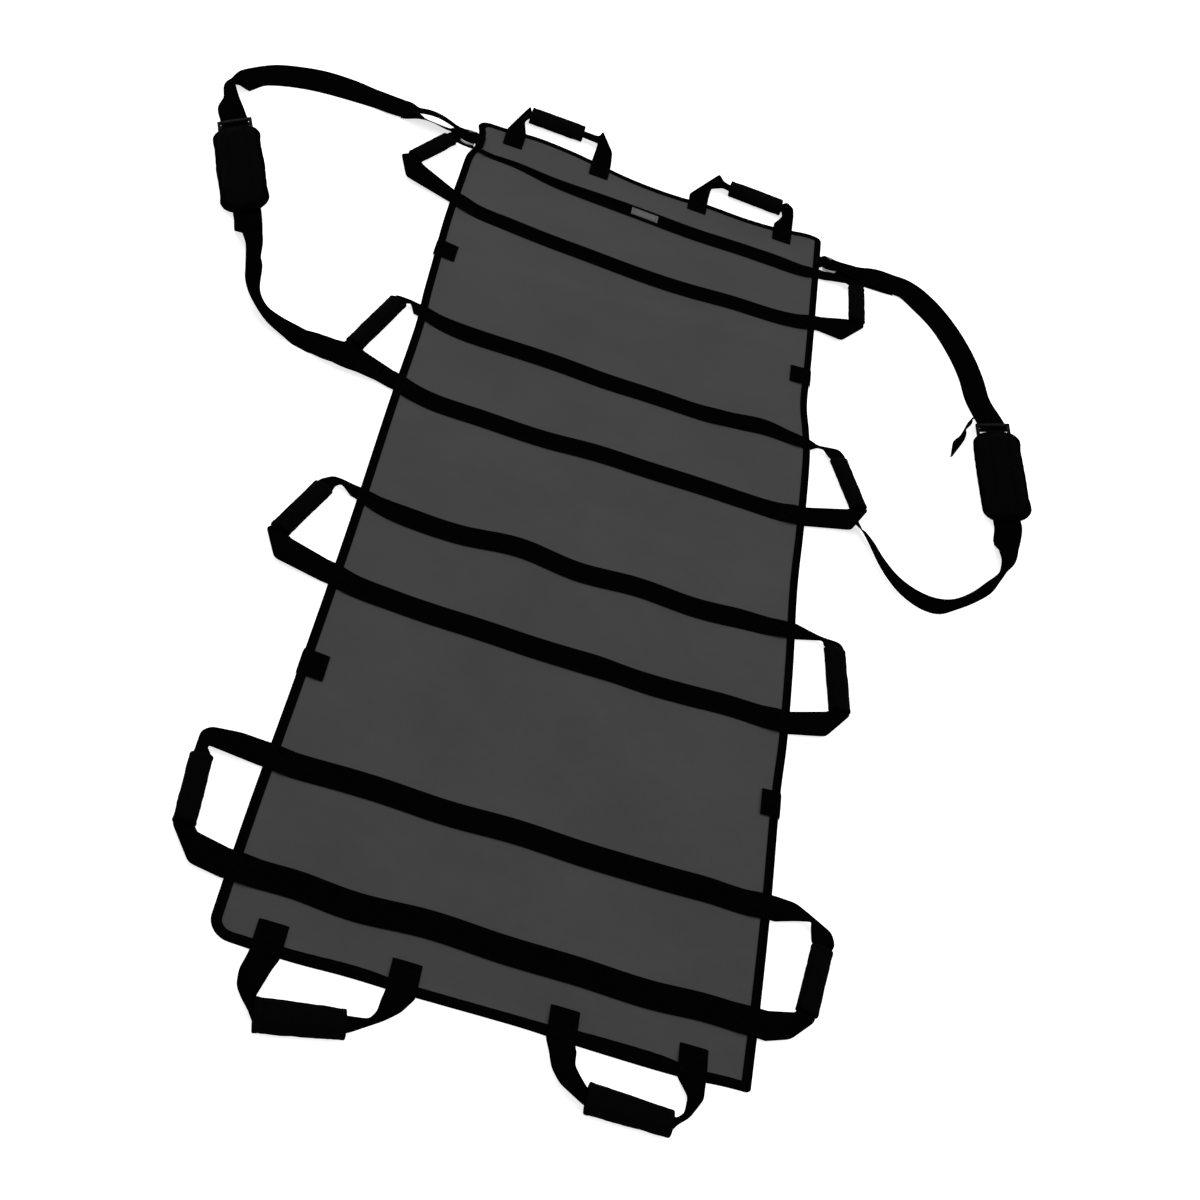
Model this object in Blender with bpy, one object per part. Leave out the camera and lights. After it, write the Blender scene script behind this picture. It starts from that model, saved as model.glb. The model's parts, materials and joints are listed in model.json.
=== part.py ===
"""Rescue sheet: a coated fabric sheet with sewn webbing, padded carrying loops and two shoulder straps.

Metres. +X to the sheet's right, +Y towards its head end, +Z up. The origin is the middle of the
underside, where the sheet lies on the ground.
"""

import math

import bmesh
import bpy
from mathutils import Matrix, Vector

# Sheet and its edge tape
SHEET_WIDTH = 0.730
SHEET_LENGTH = 2.000
SHEET_THICKNESS = 0.0012
SHEET_CORNER_RADIUS = 0.022
TAPE_COVER = 0.013
TAPE_THICKNESS = 0.0009
MARGIN_SLOPE = 0.012

# Gap between touching meshes
CLEAR = 0.0003

# Webbing
CROSS_WEB_WIDTH = 0.043
LEFT_GATHERED_WIDTH = 0.020
RIGHT_GATHERED_WIDTH = 0.032
END_WEB_WIDTH = 0.040
STRAP_WIDTH = 0.050
GRIP_WEB_WIDTH = 0.026
CORNER_WEB_WIDTH = 0.032
HANDLE_LEVEL_LENGTH = 0.002
WEB_THICKNESS = 0.0020
FOLD_LINE_OUT = 0.007
END_TAB_LENGTH = 0.039

# Padded sleeves
SIDE_GRIP_WIDTH = 0.034
SIDE_GRIP_THICKNESS = 0.019
END_GRIP_WIDTH = 0.050
END_GRIP_THICKNESS = 0.024
END_GRIP_LENGTH = 0.114
GRIP_BORE_THICKNESS = 0.0040
GRIP_BORE_SIDE_CLEAR = 0.0008
SIDE_GRIP_CORNER_GAP = 0.024

# Patches of webbing folded over the side edges, and the bare label
EDGE_TAB_WIDTH = 0.050
EDGE_TAB_REACH = 0.038
EDGE_TAB_THICKNESS = 0.0015
LABEL_LENGTH = 0.055
LABEL_WIDTH = 0.024
LABEL_THICKNESS = 0.0006

# D-rings
RING_WIRE = 0.0045
RING_INSIDE = 0.042
RING_DEPTH = 0.030
RING_GAP_TO_WEB = 0.001
RING_RUNNING_GAP = 0.0004
RING_TAB_WIDTH = 0.040
RING_TAB_THICKNESS = 0.0019
RING_TAB_REACH = 0.020
STRAP_LOOP_WIDTH = 0.036
STRAP_END_WIDTH = 0.030
STRAP_SEAM_GAP = 0.0008

# Shoulder straps
PAD_LENGTH = 0.240
PAD_WIDTH = 0.099
PAD_THICKNESS = 0.020
PAD_DRAWN_IN = 0.010
BUCKLE_LENGTH = 0.034
BUCKLE_BAR = 0.006
BUCKLE_THICKNESS = 0.0050
BUCKLE_SIDE_CLEAR = 0.001
STRAP_LAP_LENGTH = 0.120
STRAP_LAP_BULGE = 0.008

# Places along the sheet, as shares of half its length, head end positive. Each cross web has its
# left end, left quarter, middle, right quarter and right end.
CROSS_WEB_LINES = (
    (0.893, 0.8865, 0.8790, 0.8840, 0.885),
    (0.712, 0.6850, 0.6800, 0.6910, 0.720),
    (0.345, 0.3340, 0.3306, 0.3388, 0.350),
    (0.150, 0.1230, 0.1340, 0.1370, 0.148),
    (-0.157, -0.1640, -0.1580, -0.1569, -0.140),
    (-0.345, -0.3510, -0.3506, -0.3487, -0.338),
    (-0.698, -0.7025, -0.7012, -0.7031, -0.698),
    (-0.891, -0.8944, -0.8919, -0.8937, -0.890),
)
EDGE_TAB_LINES = {
    "edge_tab_head_left": (-1, 0.544),
    "edge_tab_head_right": (1, 0.536),
    "edge_tab_foot_left": (-1, -0.521),
    "edge_tab_foot_right": (1, -0.513),
}

# Corners of each side handle: how far past the fold line, place along the sheet, height. Handle
# number n joins cross webs 2n-1 and 2n.
SIDE_HANDLES = {
    ("left", 1): ((0.036, 0.8945, 0.016), (0.106, 0.757, 0.0105)),
    ("left", 2): ((0.038, 0.351, 0.013), (0.086, 0.170, 0.0105)),
    ("left", 3): ((0.036, -0.152, 0.0115), (0.086, -0.320, 0.0105)),
    ("left", 4): ((0.071, -0.717, 0.012), (0.073, -0.879, 0.0105)),
    ("right", 1): ((0.074, 0.882, 0.014), (0.076, 0.714, 0.0105)),
    ("right", 2): ((0.049, 0.342, 0.012), (0.104, 0.177, 0.0105)),
    ("right", 3): ((0.066, -0.151, 0.0105), (0.084, -0.324, 0.0105)),
    ("right", 4): ((0.077, -0.718, 0.014), (0.062, -0.882, 0.0105)),
}

# End handles: end of the sheet (head +1), places of the two legs across the sheet at the fold line,
# then each corner's place across the sheet and how far it lies past the fold line, and the middle
# of the sleeve, which can slide along the run.
END_HANDLES = {
    "head_left": (1, -0.2975, -0.1160, (-0.2980, 0.071), (-0.1160, 0.069), -0.2235),
    "head_right": (1, 0.0945, 0.2785, (0.1000, 0.064), (0.2880, 0.062), 0.2110),
    "foot_left": (-1, -0.2900, -0.1130, (-0.3060, 0.089), (-0.1230, 0.054), -0.2240),
    "foot_right": (-1, 0.1005, 0.2780, (0.0980, 0.069), (0.2790, 0.074), 0.2020),
}
END_RUN_HEIGHT = 0.0132

# Shoulder straps, from the ring outwards. Each point: how far past the fold line, place along the
# sheet, lean of the web in degrees (outer edge raised positive) and width.
UPPER_ROUTES = {
    "left": (
        (0.060, 0.9320, -12, 0.040),
        (0.085, 0.9330, -28, 0.045),
        (0.115, 0.9370, -24, 0.049),
        (0.145, 0.9410, -4, 0.050),
        (0.175, 0.9430, 10, 0.050),
        (0.212, 0.9420, 14, 0.050),
        (0.255, 0.9390, 19, 0.050),
        (0.307, 0.9290, 24, 0.050),
        (0.353, 0.9140, 28, 0.050),
        (0.395, 0.8910, 36, 0.050),
        (0.430, 0.8590, 48, 0.050),
        (0.450, 0.8280, 54, 0.050),
        (0.459, 0.8000, 46, 0.050),
        (0.456, 0.7730, 24, 0.050),
    ),
    "right": (
        (0.062, 0.9260, 10, 0.042),
        (0.090, 0.9235, 26, 0.046),
        (0.125, 0.9200, 38, 0.050),
        (0.170, 0.9090, 42, 0.050),
        (0.212, 0.8840, 42, 0.050),
        (0.256, 0.8320, 36, 0.050),
        (0.294, 0.7700, 30, 0.050),
        (0.320, 0.7050, 20, 0.050),
        (0.336, 0.6450, 10, 0.050),
    ),
}
# The pad's middle, past the fold line and along the sheet, and its turn from the sheet's length
PADS = {"left": (0.380, 0.5660, 20.0), "right": (0.3745, 0.4370, 5.0)}
LOWER_ROUTES = {
    "left": (
        (0.3213, 0.4064, 30, 0.050),
        (0.3093, 0.3679, 48, 0.050),
        (0.3031, 0.3393, 58, 0.050),
        (0.2962, 0.3126, 60, 0.050),
        (0.2831, 0.2629, 60, 0.050),
        (0.2702, 0.2290, 52, 0.050),
        (0.2487, 0.2040, 38, 0.050),
        (0.2166, 0.1860, 20, 0.050),
        (0.1777, 0.1745, 6, 0.048),
        (0.1393, 0.1690, 0, 0.046),
    ),
    "right": (
        (0.3835, 0.2730, -10, 0.050),
        (0.3790, 0.2450, -24, 0.050),
        (0.3740, 0.2140, -46, 0.050),
        (0.3690, 0.1830, -72, 0.050),
        (0.3625, 0.1530, -94, 0.050),
        (0.3490, 0.1140, -104, 0.050),
        (0.3230, 0.0735, -110, 0.050),
        (0.2925, 0.0390, -112, 0.050),
        (0.2595, 0.0145, -114, 0.050),
        (0.2293, 0.0065, -116, 0.050),
        (0.1985, 0.0110, -116, 0.050),
        (0.1685, 0.0320, -114, 0.050),
        (0.1430, 0.0650, -108, 0.048),
        (0.1270, 0.0990, -98, 0.044),
        (0.1190, 0.1260, -78, 0.038),
    ),
}
# The right strap's loose end, from the buckle's side
TAIL_ROUTE = (
    (0.3296, 0.5742, 4, 0.012),
    (0.3170, 0.5722, 14, 0.016),
    (0.3080, 0.5580, 34, 0.022),
    (0.3030, 0.5400, 54, 0.028),
    (0.2975, 0.5120, 62, 0.030),
    (0.2890, 0.4660, 74, 0.030),
)

# Worked out from the sizes above
HALF_WIDTH = SHEET_WIDTH / 2
HALF_LENGTH = SHEET_LENGTH / 2
FOLD_X = HALF_WIDTH + FOLD_LINE_OUT
FOLD_Y = HALF_LENGTH + FOLD_LINE_OUT
MARGIN_BOTTOM = TAPE_THICKNESS + CLEAR
MARGIN_TOP = MARGIN_BOTTOM + SHEET_THICKNESS
TAPE_TOP = MARGIN_TOP + CLEAR + TAPE_THICKNESS
WEB_AT_EDGE = TAPE_TOP + CLEAR + WEB_THICKNESS / 2
WEB_INSIDE = SHEET_THICKNESS + CLEAR + WEB_THICKNESS / 2
FOLD_Z = WEB_AT_EDGE + WEB_THICKNESS / 2 + CLEAR
RING_HALF = RING_INSIDE / 2 + RING_WIRE
SIGNS = {"left": -1, "right": 1}


def material(name, colour, roughness, metallic=0.0):
    made = bpy.data.materials.new(name)
    made.use_nodes = True
    shader = made.node_tree.nodes["Principled BSDF"]
    shader.inputs["Base Color"].default_value = (*colour, 1.0)
    shader.inputs["Roughness"].default_value = roughness
    shader.inputs["Metallic"].default_value = metallic
    return made


def solid(name, verts, faces, finish, origin=(0, 0, 0), smooth=False):
    """A named object from points and faces, turned to face outwards, its own origin at the given point."""
    mesh = bpy.data.meshes.new(name)
    start = Vector(origin)
    mesh.from_pydata([Vector(v) - start for v in verts], [], faces)
    work = bmesh.new()
    work.from_mesh(mesh)
    bmesh.ops.recalc_face_normals(work, faces=work.faces)
    if work.calc_volume(signed=True) < 0:
        bmesh.ops.reverse_faces(work, faces=work.faces)
    work.to_mesh(mesh)
    work.free()
    if smooth:
        mesh.shade_smooth()
        mesh.set_sharp_from_angle(angle=math.radians(40))
    made = bpy.data.objects.new(name, mesh)
    made.location = start
    mesh.materials.append(finish)
    bpy.context.scene.collection.objects.link(made)
    return made


def rings_to_solid(rings, close_ends=True):
    """Points and faces of a skin over rings of equal length; open rows of rings get end faces."""
    count = len(rings[0])
    verts = [point for ring in rings for point in ring]
    faces = []
    rows = len(rings) if not close_ends else len(rings) - 1
    for row in range(rows):
        below = row * count
        above = (row + 1) % len(rings) * count
        for k in range(count):
            after = (k + 1) % count
            faces.append((below + k, below + after, above + after, above + k))
    if close_ends:
        faces.append(tuple(range(count)))
        faces.append(tuple(range(len(verts) - count, len(verts))))
    return verts, faces


def ribbon(name, pairs, thickness, finish, origin=(0, 0, 0)):
    """A flat band: each pair holds the two edge points of one station."""
    centres = [(a + b) / 2 for a, b in pairs]
    rings = []
    for i, (a, b) in enumerate(pairs):
        along = centres[min(i + 1, len(pairs) - 1)] - centres[max(i - 1, 0)]
        lift = along.cross(b - a).normalized() * (thickness / 2)
        rings.append((a - lift, b - lift, b + lift, a + lift))
    verts = [point for ring in rings for point in ring]
    faces = [(0, 1, 2, 3), tuple(len(verts) - k for k in (1, 2, 3, 4))]
    for k in range(0, len(verts) - 4, 4):
        faces += [(k, k + 1, k + 5), (k, k + 5, k + 4), (k + 3, k + 6, k + 2), (k + 3, k + 7, k + 6)]
        faces += [(k + 1, k + 2, k + 6, k + 5), (k + 3, k, k + 4, k + 7)]
    return solid(name, verts, faces, finish, origin)


def smooth_route(points, steps):
    """Points on a smooth curve through the given ones, each a tuple of numbers."""
    first = tuple(2 * a - b for a, b in zip(points[0], points[1]))
    last = tuple(2 * a - b for a, b in zip(points[-1], points[-2]))
    row = [first, *points, last]
    out = []
    for k in range(1, len(row) - 2):
        for step in range(steps):
            t = step / steps
            out.append(
                tuple(
                    0.5 * (2 * b + (c - a) * t
                           + (2 * a - 5 * b + 4 * c - d) * t**2
                           + (3 * b - a - 3 * c + d) * t**3)
                    for a, b, c, d in zip(row[k - 1], row[k], row[k + 1], row[k + 2])
                )
            )
    out.append(tuple(points[-1]))
    return out


def surface_level(inset):
    """Height of the middle of a web laid on the sheet, at a distance inside the nearest edge."""
    flat_from = TAPE_COVER + MARGIN_SLOPE
    share = min(max((inset - TAPE_COVER) / flat_from, 0.0), 1.0)
    return WEB_AT_EDGE + (WEB_INSIDE - WEB_AT_EDGE) * share


def rounded_outline(inset, per_corner=5):
    """The sheet's outline, moved inwards, as points in order."""
    radius = SHEET_CORNER_RADIUS - min(inset, SHEET_CORNER_RADIUS * 0.8)
    x = HALF_WIDTH - inset - radius
    y = HALF_LENGTH - inset - radius
    points = []
    for corner, (sx, sy) in enumerate(((1, 1), (-1, 1), (-1, -1), (1, -1))):
        for k in range(per_corner):
            turn = math.radians(90 * (corner + k / (per_corner - 1)))
            points.append((sx * x + radius * math.cos(turn), sy * y + radius * math.sin(turn)))
    return points


def make_sheet():
    """The fabric lies on the ground, its margin lifted by the tape under it."""
    flat = TAPE_COVER + MARGIN_SLOPE
    lip = TAPE_COVER + CLEAR
    levels = (
        (flat, 0.0),
        (lip, MARGIN_BOTTOM),
        (0.0, MARGIN_BOTTOM),
        (0.0, MARGIN_TOP),
        (lip, MARGIN_TOP),
        (flat, SHEET_THICKNESS),
    )
    rings = [[(x, y, z) for x, y in rounded_outline(inset)] for inset, z in levels]
    verts, faces = rings_to_solid(rings)
    solid("sheet", verts, faces, FABRIC)


def make_edge_binding():
    """One tape folded over the edge, open inwards like a U."""
    out = -CLEAR - TAPE_THICKNESS
    profile = (
        (TAPE_COVER, TAPE_TOP),
        (out, TAPE_TOP),
        (out, 0.0),
        (TAPE_COVER, 0.0),
        (TAPE_COVER, TAPE_THICKNESS),
        (-CLEAR, TAPE_THICKNESS),
        (-CLEAR, MARGIN_TOP + CLEAR),
        (TAPE_COVER, MARGIN_TOP + CLEAR),
    )
    lines = [[(x, y, z) for x, y in rounded_outline(inset)] for inset, z in profile]
    verts, faces = rings_to_solid(lines, close_ends=False)
    solid("edge_binding", verts, faces, TAPE)


def web_end(side, number):
    """Place along the sheet and width of a cross web where it meets its handle."""
    line = CROSS_WEB_LINES[number - 1]
    y = line[0 if side == "left" else -1] * HALF_LENGTH
    if number == 1:
        return y, LEFT_GATHERED_WIDTH if side == "left" else RIGHT_GATHERED_WIDTH
    return y, CROSS_WEB_WIDTH


def make_cross_web(number):
    """A web sewn across the sheet, ending just short of the fold line on each side."""
    end = FOLD_X - CLEAR / 2
    quarter = HALF_WIDTH * 0.466
    line = [share * HALF_LENGTH for share in CROSS_WEB_LINES[number - 1]]
    left_width = web_end("left", number)[1]
    right_width = web_end("right", number)[1]
    across = (-end, -quarter, 0.0, quarter, end)
    widths = (left_width, CROSS_WEB_WIDTH, CROSS_WEB_WIDTH, CROSS_WEB_WIDTH, right_width)
    route = smooth_route(list(zip(across, line, widths)), 4)
    edge_start = HALF_WIDTH - TAPE_COVER
    edge_end = edge_start - TAPE_COVER - MARGIN_SLOPE
    stations = []
    for x, y, width in route:
        if abs(x) < edge_end or abs(x) > HALF_WIDTH:
            stations.append((x, y, width))
    for sign, end_width in ((-1, left_width), (1, right_width)):
        y_end = line[0] if sign < 0 else line[-1]
        y_in = line[1] if sign < 0 else line[-2]
        for x in (edge_start, edge_end):
            share = (x - quarter) / (end - quarter)
            width = CROSS_WEB_WIDTH + (end_width - CROSS_WEB_WIDTH) * share
            stations.append((sign * x, y_in + (y_end - y_in) * share, width))
    stations.sort()
    pairs = []
    for x, y, width in stations:
        z = surface_level(HALF_WIDTH - abs(x))
        pairs.append((Vector((x, y + width / 2, z)), Vector((x, y - width / 2, z))))
    ribbon(f"cross_web_{number}", pairs, WEB_THICKNESS, WEBBING)


def meet(p, d, q, e):
    """Where the plan line through p along d meets the one through q along e."""
    det = d.x * -e.y + e.x * d.y
    t = ((q.x - p.x) * -e.y + e.x * (q.y - p.y)) / det
    return p + d * t


def folded_corner(before, corner, after, width_in, width_out):
    """The two stations where a flat web is folded over itself to turn a corner, in plan."""
    d = (corner - before).normalized()
    e = (after - corner).normalized()
    turn = 1 if d.x * e.y > d.y * e.x else -1
    left_d = Vector((-d.y, d.x)) * turn
    left_e = Vector((-e.y, e.x)) * turn
    inner = meet(corner + left_d * width_in / 2, d, corner + left_e * width_out / 2, e)
    fold = (e + d).normalized()
    outer_in = meet(corner - left_d * width_in / 2, d, corner, fold)
    outer_out = meet(corner - left_e * width_out / 2, e, corner, fold)
    slack = 0.0015
    return [(inner - d * slack, outer_in), (inner + e * slack, outer_out)]


def lifted(pair, z):
    return tuple(Vector((p.x, p.y, z)) for p in pair)


def on_run(pair, start, end):
    """The two points of a station lifted to the sloping line that the grip's run follows."""
    run = (end - start).to_2d()
    rise = (end.z - start.z) / run.length_squared
    return tuple(Vector((p.x, p.y, start.z + (p - start.to_2d()).dot(run) * rise)) for p in pair)


def side_handle_plan(side, number):
    """Corner points and widths of a side handle in plan: the two legs meet the cross webs' ends."""
    sign = SIGNS[side]
    start_y, start_width = web_end(side, 2 * number - 1)
    end_y, end_width = web_end(side, 2 * number)
    (r1, share1, z1), (r2, share2, z2) = SIDE_HANDLES[(side, number)]
    begin = sign * (FOLD_X + CLEAR / 2)
    points = [
        Vector((begin, start_y)),
        Vector((sign * (FOLD_X + r1), share1 * HALF_LENGTH)),
        Vector((sign * (FOLD_X + r2), share2 * HALF_LENGTH)),
        Vector((begin, end_y)),
    ]
    return points, (start_width, end_width), (z1, z2)


def make_side_handle(side, number):
    """A web loop past the side edge, and the padded sleeve on its outer run. Returns its lower corner."""
    points, (start_width, end_width), (z1, z2) = side_handle_plan(side, number)
    sign = SIGNS[side]
    origin = (sign * FOLD_X, (points[0].y + points[3].y) / 2, FOLD_Z)
    half = Vector((0, 0.5))
    level = Vector((sign * HANDLE_LEVEL_LENGTH, 0))
    first = (points[0] - half * start_width, points[0] + half * start_width)
    last = (points[3] + half * end_width, points[3] - half * end_width)
    corner_width = min(start_width, CORNER_WEB_WIDTH)
    upper = folded_corner(points[0], points[1], points[2], corner_width, GRIP_WEB_WIDTH)
    lower = folded_corner(points[1], points[2], points[3], GRIP_WEB_WIDTH, min(end_width, CORNER_WEB_WIDTH))
    a = Vector((*points[1], z1))
    b = Vector((*points[2], z2))
    pairs = [lifted(first, WEB_AT_EDGE), lifted((first[0] + level, first[1] + level), WEB_AT_EDGE)]
    pairs += [on_run(pair, a, b) for pair in upper + lower]
    pairs += [lifted((last[0] + level, last[1] + level), WEB_AT_EDGE), lifted(last, WEB_AT_EDGE)]
    ribbon(f"side_handle_{side}_{number}", pairs, WEB_THICKNESS, WEBBING, origin)
    run = b - a
    spare = SIDE_GRIP_CORNER_GAP / run.length
    make_grip(
        f"side_grip_{side}_{number}",
        a + run * spare,
        b - run * spare,
        SIDE_GRIP_WIDTH,
        SIDE_GRIP_THICKNESS,
        origin,
    )
    return [pair[1] for pair in pairs[4:6]]


def make_grip(name, start, end, width, thickness, origin):
    """A padded sleeve of oval section around a web, with rounded ends and a flat bore."""
    along = (end - start).normalized()
    across = along.cross(Vector((0, 0, 1))).normalized()
    up = across.cross(along).normalized()
    length = (end - start).length
    sides = 12
    bore_half = (GRIP_WEB_WIDTH / 2 + GRIP_BORE_SIDE_CLEAR, GRIP_BORE_THICKNESS / 2)
    soft = ((0.0, 0.74), (0.05, 0.93), (0.30, 1.0), (0.70, 1.0), (0.95, 0.93), (1.0, 0.74))
    outer = []
    inner = []
    for share, swell in soft:
        centre = start + along * (length * share)
        skin = []
        hole = []
        for k in range(sides):
            turn = 2 * math.pi * k / sides
            c = math.cos(turn)
            s = math.sin(turn)
            wide = c * width / 2 * (0.75 + 0.25 * swell)
            high = math.copysign(abs(s) ** 0.85, s) * thickness / 2 * swell
            skin.append(centre + across * wide + up * high)
            hole.append(
                centre
                + across * (max(min(c * 1.3, 1.0), -1.0) * bore_half[0])
                + up * (max(min(s * 1.3, 1.0), -1.0) * bore_half[1])
            )
        outer.append(skin)
        inner.append(hole)
    rings = outer + inner[::-1]
    verts, faces = rings_to_solid(rings, close_ends=False)
    return solid(name, verts, faces, PADDING, origin, smooth=True)


def make_end_handle(name):
    """A web loop past a short edge, its two sewn ends on the sheet, and a sleeve that can slide."""
    sign, leg_a, leg_b, corner_a, corner_b, grip_at = END_HANDLES[name]
    begin = sign * (FOLD_Y + CLEAR / 2)
    points = [Vector((leg_a, begin))]
    points += [Vector((x, sign * (FOLD_Y + reach))) for x, reach in (corner_a, corner_b)]
    points.append(Vector((leg_b, begin)))
    origin = ((leg_a + leg_b) / 2, sign * FOLD_Y, FOLD_Z)
    half = Vector((END_WEB_WIDTH / 2, 0))
    level = Vector((0, sign * HANDLE_LEVEL_LENGTH))
    first = (points[0] + half, points[0] - half)
    last = (points[3] - half, points[3] + half)
    upper = folded_corner(points[0], points[1], points[2], GRIP_WEB_WIDTH, GRIP_WEB_WIDTH)
    lower = folded_corner(points[1], points[2], points[3], GRIP_WEB_WIDTH, GRIP_WEB_WIDTH)
    pairs = [lifted(first, WEB_AT_EDGE), lifted((first[0] + level, first[1] + level), WEB_AT_EDGE)]
    pairs += [lifted(pair, END_RUN_HEIGHT) for pair in upper + lower]
    pairs += [lifted((last[0] + level, last[1] + level), WEB_AT_EDGE), lifted(last, WEB_AT_EDGE)]
    ribbon(f"end_handle_{name}", pairs, WEB_THICKNESS, WEBBING, origin)
    run = points[2] - points[1]
    middle = points[1] + run * ((grip_at - points[1].x) / run.x)
    centre = Vector((*middle, END_RUN_HEIGHT))
    half_grip = Vector((*run, 0)).normalized() * (END_GRIP_LENGTH / 2)
    ends = (centre - half_grip, centre + half_grip)
    make_grip(f"end_grip_{name}", *ends, END_GRIP_WIDTH, END_GRIP_THICKNESS, centre)
    make_end_tab(f"end_tab_{name}_left", leg_a, sign)
    make_end_tab(f"end_tab_{name}_right", leg_b, sign)


def make_end_tab(name, x, sign):
    """The end of a handle's web, sewn flat over the tape and the sheet."""
    half = Vector((END_WEB_WIDTH / 2, 0, 0))
    insets = (-FOLD_LINE_OUT + CLEAR / 2, TAPE_COVER, END_TAB_LENGTH)
    pairs = []
    for inset in insets:
        centre = Vector((x, sign * (HALF_LENGTH - inset), surface_level(inset)))
        pairs.append((centre - half, centre + half))
    ribbon(name, pairs, WEB_THICKNESS, WEBBING)


def make_edge_tab(name):
    """Webbing folded over the side edge, its top leg sewn on the sheet."""
    sign, share = EDGE_TAB_LINES[name]
    y = share * HALF_LENGTH
    half = Vector((0, EDGE_TAB_WIDTH / 2, 0))
    lift = (EDGE_TAB_THICKNESS - WEB_THICKNESS) / 2
    wall = HALF_WIDTH + CLEAR * 2 + TAPE_THICKNESS + EDGE_TAB_THICKNESS / 2
    top = WEB_AT_EDGE + lift
    line = (
        (wall, CLEAR),
        (wall, top),
        (HALF_WIDTH - TAPE_COVER, top),
        (HALF_WIDTH - EDGE_TAB_REACH, surface_level(EDGE_TAB_REACH) + lift),
    )
    pairs = []
    for x, z in line:
        centre = Vector((sign * x, y, z))
        pairs.append((centre - half, centre + half))
    ribbon(name, pairs, EDGE_TAB_THICKNESS, WEBBING)


def make_label():
    """A bare patch on the web nearest the head."""
    line = CROSS_WEB_LINES[0]
    slope = (line[3] - line[1]) * HALF_LENGTH / (2 * HALF_WIDTH * 0.466)
    along = Vector((1, slope, 0)).normalized() * (LABEL_LENGTH / 2)
    z = WEB_INSIDE + WEB_THICKNESS / 2 + CLEAR + LABEL_THICKNESS / 2
    centre = Vector((-0.008, line[2] * HALF_LENGTH, z))
    half = Vector((0, LABEL_WIDTH / 2, 0))
    pairs = [(centre - along + half, centre - along - half), (centre + along + half, centre + along - half)]
    ribbon("label_patch", pairs, LABEL_THICKNESS, PATCH)


def ring_place(side):
    """Where the ring's straight bar has its middle, beside the first cross web's end."""
    y, width = web_end(side, 1)
    return y + width / 2 + RING_GAP_TO_WEB + RING_HALF


def make_d_ring(side):
    """A D of round wire: straight bar on the fold line, bow pointing outwards."""
    sign = SIGNS[side]
    y_mid = ring_place(side)
    half = (RING_INSIDE + RING_WIRE) / 2
    plan = []
    steps = 12
    for k in range(steps + 1):
        turn = math.pi * (k / steps - 0.5)
        plan.append(Vector((RING_DEPTH * abs(math.cos(turn)) ** 0.5, half * math.sin(turn))))
    plan += [Vector((0, half / 2)), Vector((0, 0)), Vector((0, -half / 2))]
    rings = []
    count = len(plan)
    for k, point in enumerate(plan):
        along = (plan[(k + 1) % count] - plan[k - 1]).normalized()
        out = Vector((along.y, -along.x))
        ring = []
        for j in range(8):
            turn = 2 * math.pi * j / 8
            radial = point + out * (RING_WIRE / 2 * math.cos(turn))
            z = FOLD_Z + RING_WIRE / 2 * math.sin(turn)
            ring.append((sign * (FOLD_X + radial.x), y_mid + radial.y, z))
        rings.append(ring)
    verts, faces = rings_to_solid(rings, close_ends=False)
    solid(f"d_ring_{side}", verts, faces, STEEL, (sign * FOLD_X, y_mid, FOLD_Z), smooth=True)


def make_ring_tab(side):
    """A web hook sewn on the edge tape and wrapped over, round and under the ring's bar."""
    sign = SIGNS[side]
    y = ring_place(side)
    radius = RING_WIRE / 2 + RING_RUNNING_GAP + RING_TAB_THICKNESS / 2
    over = FOLD_Z + radius
    lift = (RING_TAB_THICKNESS - WEB_THICKNESS) / 2
    line = [(HALF_WIDTH - RING_TAB_REACH, WEB_AT_EDGE + lift), (HALF_WIDTH - 0.009, WEB_AT_EDGE + lift)]
    line.append((FOLD_X - radius, (over + WEB_AT_EDGE + lift) / 2 + 0.0016))
    for k in range(7):
        turn = math.radians(100 - 30 * k)
        line.append((FOLD_X + radius * math.cos(turn), FOLD_Z + radius * math.sin(turn)))
    half = Vector((0, RING_TAB_WIDTH / 2, 0))
    pairs = []
    for x, z in line:
        centre = Vector((sign * x, y, z))
        pairs.append((centre - half, centre + half))
    ribbon(f"ring_tab_{side}", pairs, RING_TAB_THICKNESS, WEBBING)


def lay(side, route, lift_by=None):
    """Stations of a web lying on the ground: centre, across and width at each point of a route."""
    sign = SIGNS[side]
    plan = [Vector((sign * (FOLD_X + r), share * HALF_LENGTH)) for r, share, *_ in route]
    stations = []
    for i, (_, _, lean, width) in enumerate(route):
        along = (plan[min(i + 1, len(plan) - 1)] - plan[max(i - 1, 0)]).normalized()
        outer = Vector((along.y, -along.x)) * -sign
        turn = math.radians(lean)
        across = Vector((*(outer * math.cos(turn)), math.sin(turn)))
        z = CLEAR + abs(math.sin(turn)) * width / 2 + abs(math.cos(turn)) * WEB_THICKNESS / 2
        if lift_by:
            z += lift_by[i]
        stations.append((Vector((*plan[i], z)), across, width))
    return stations


def to_pairs(stations):
    halves = [(centre, across * width / 2) for centre, across, width in stations]
    return [(centre - half, centre + half) for centre, half in halves]


def pad_frame(side):
    """Matrix of a pad: its own Y along the strap towards the ring, the web under it on the ground."""
    sign = SIGNS[side]
    r, share, turn = PADS[side]
    place = Vector((sign * (FOLD_X + r), share * HALF_LENGTH, CLEAR))
    return Matrix.Translation(place) @ Matrix.Rotation(math.radians(turn), 4, "Z")


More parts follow.
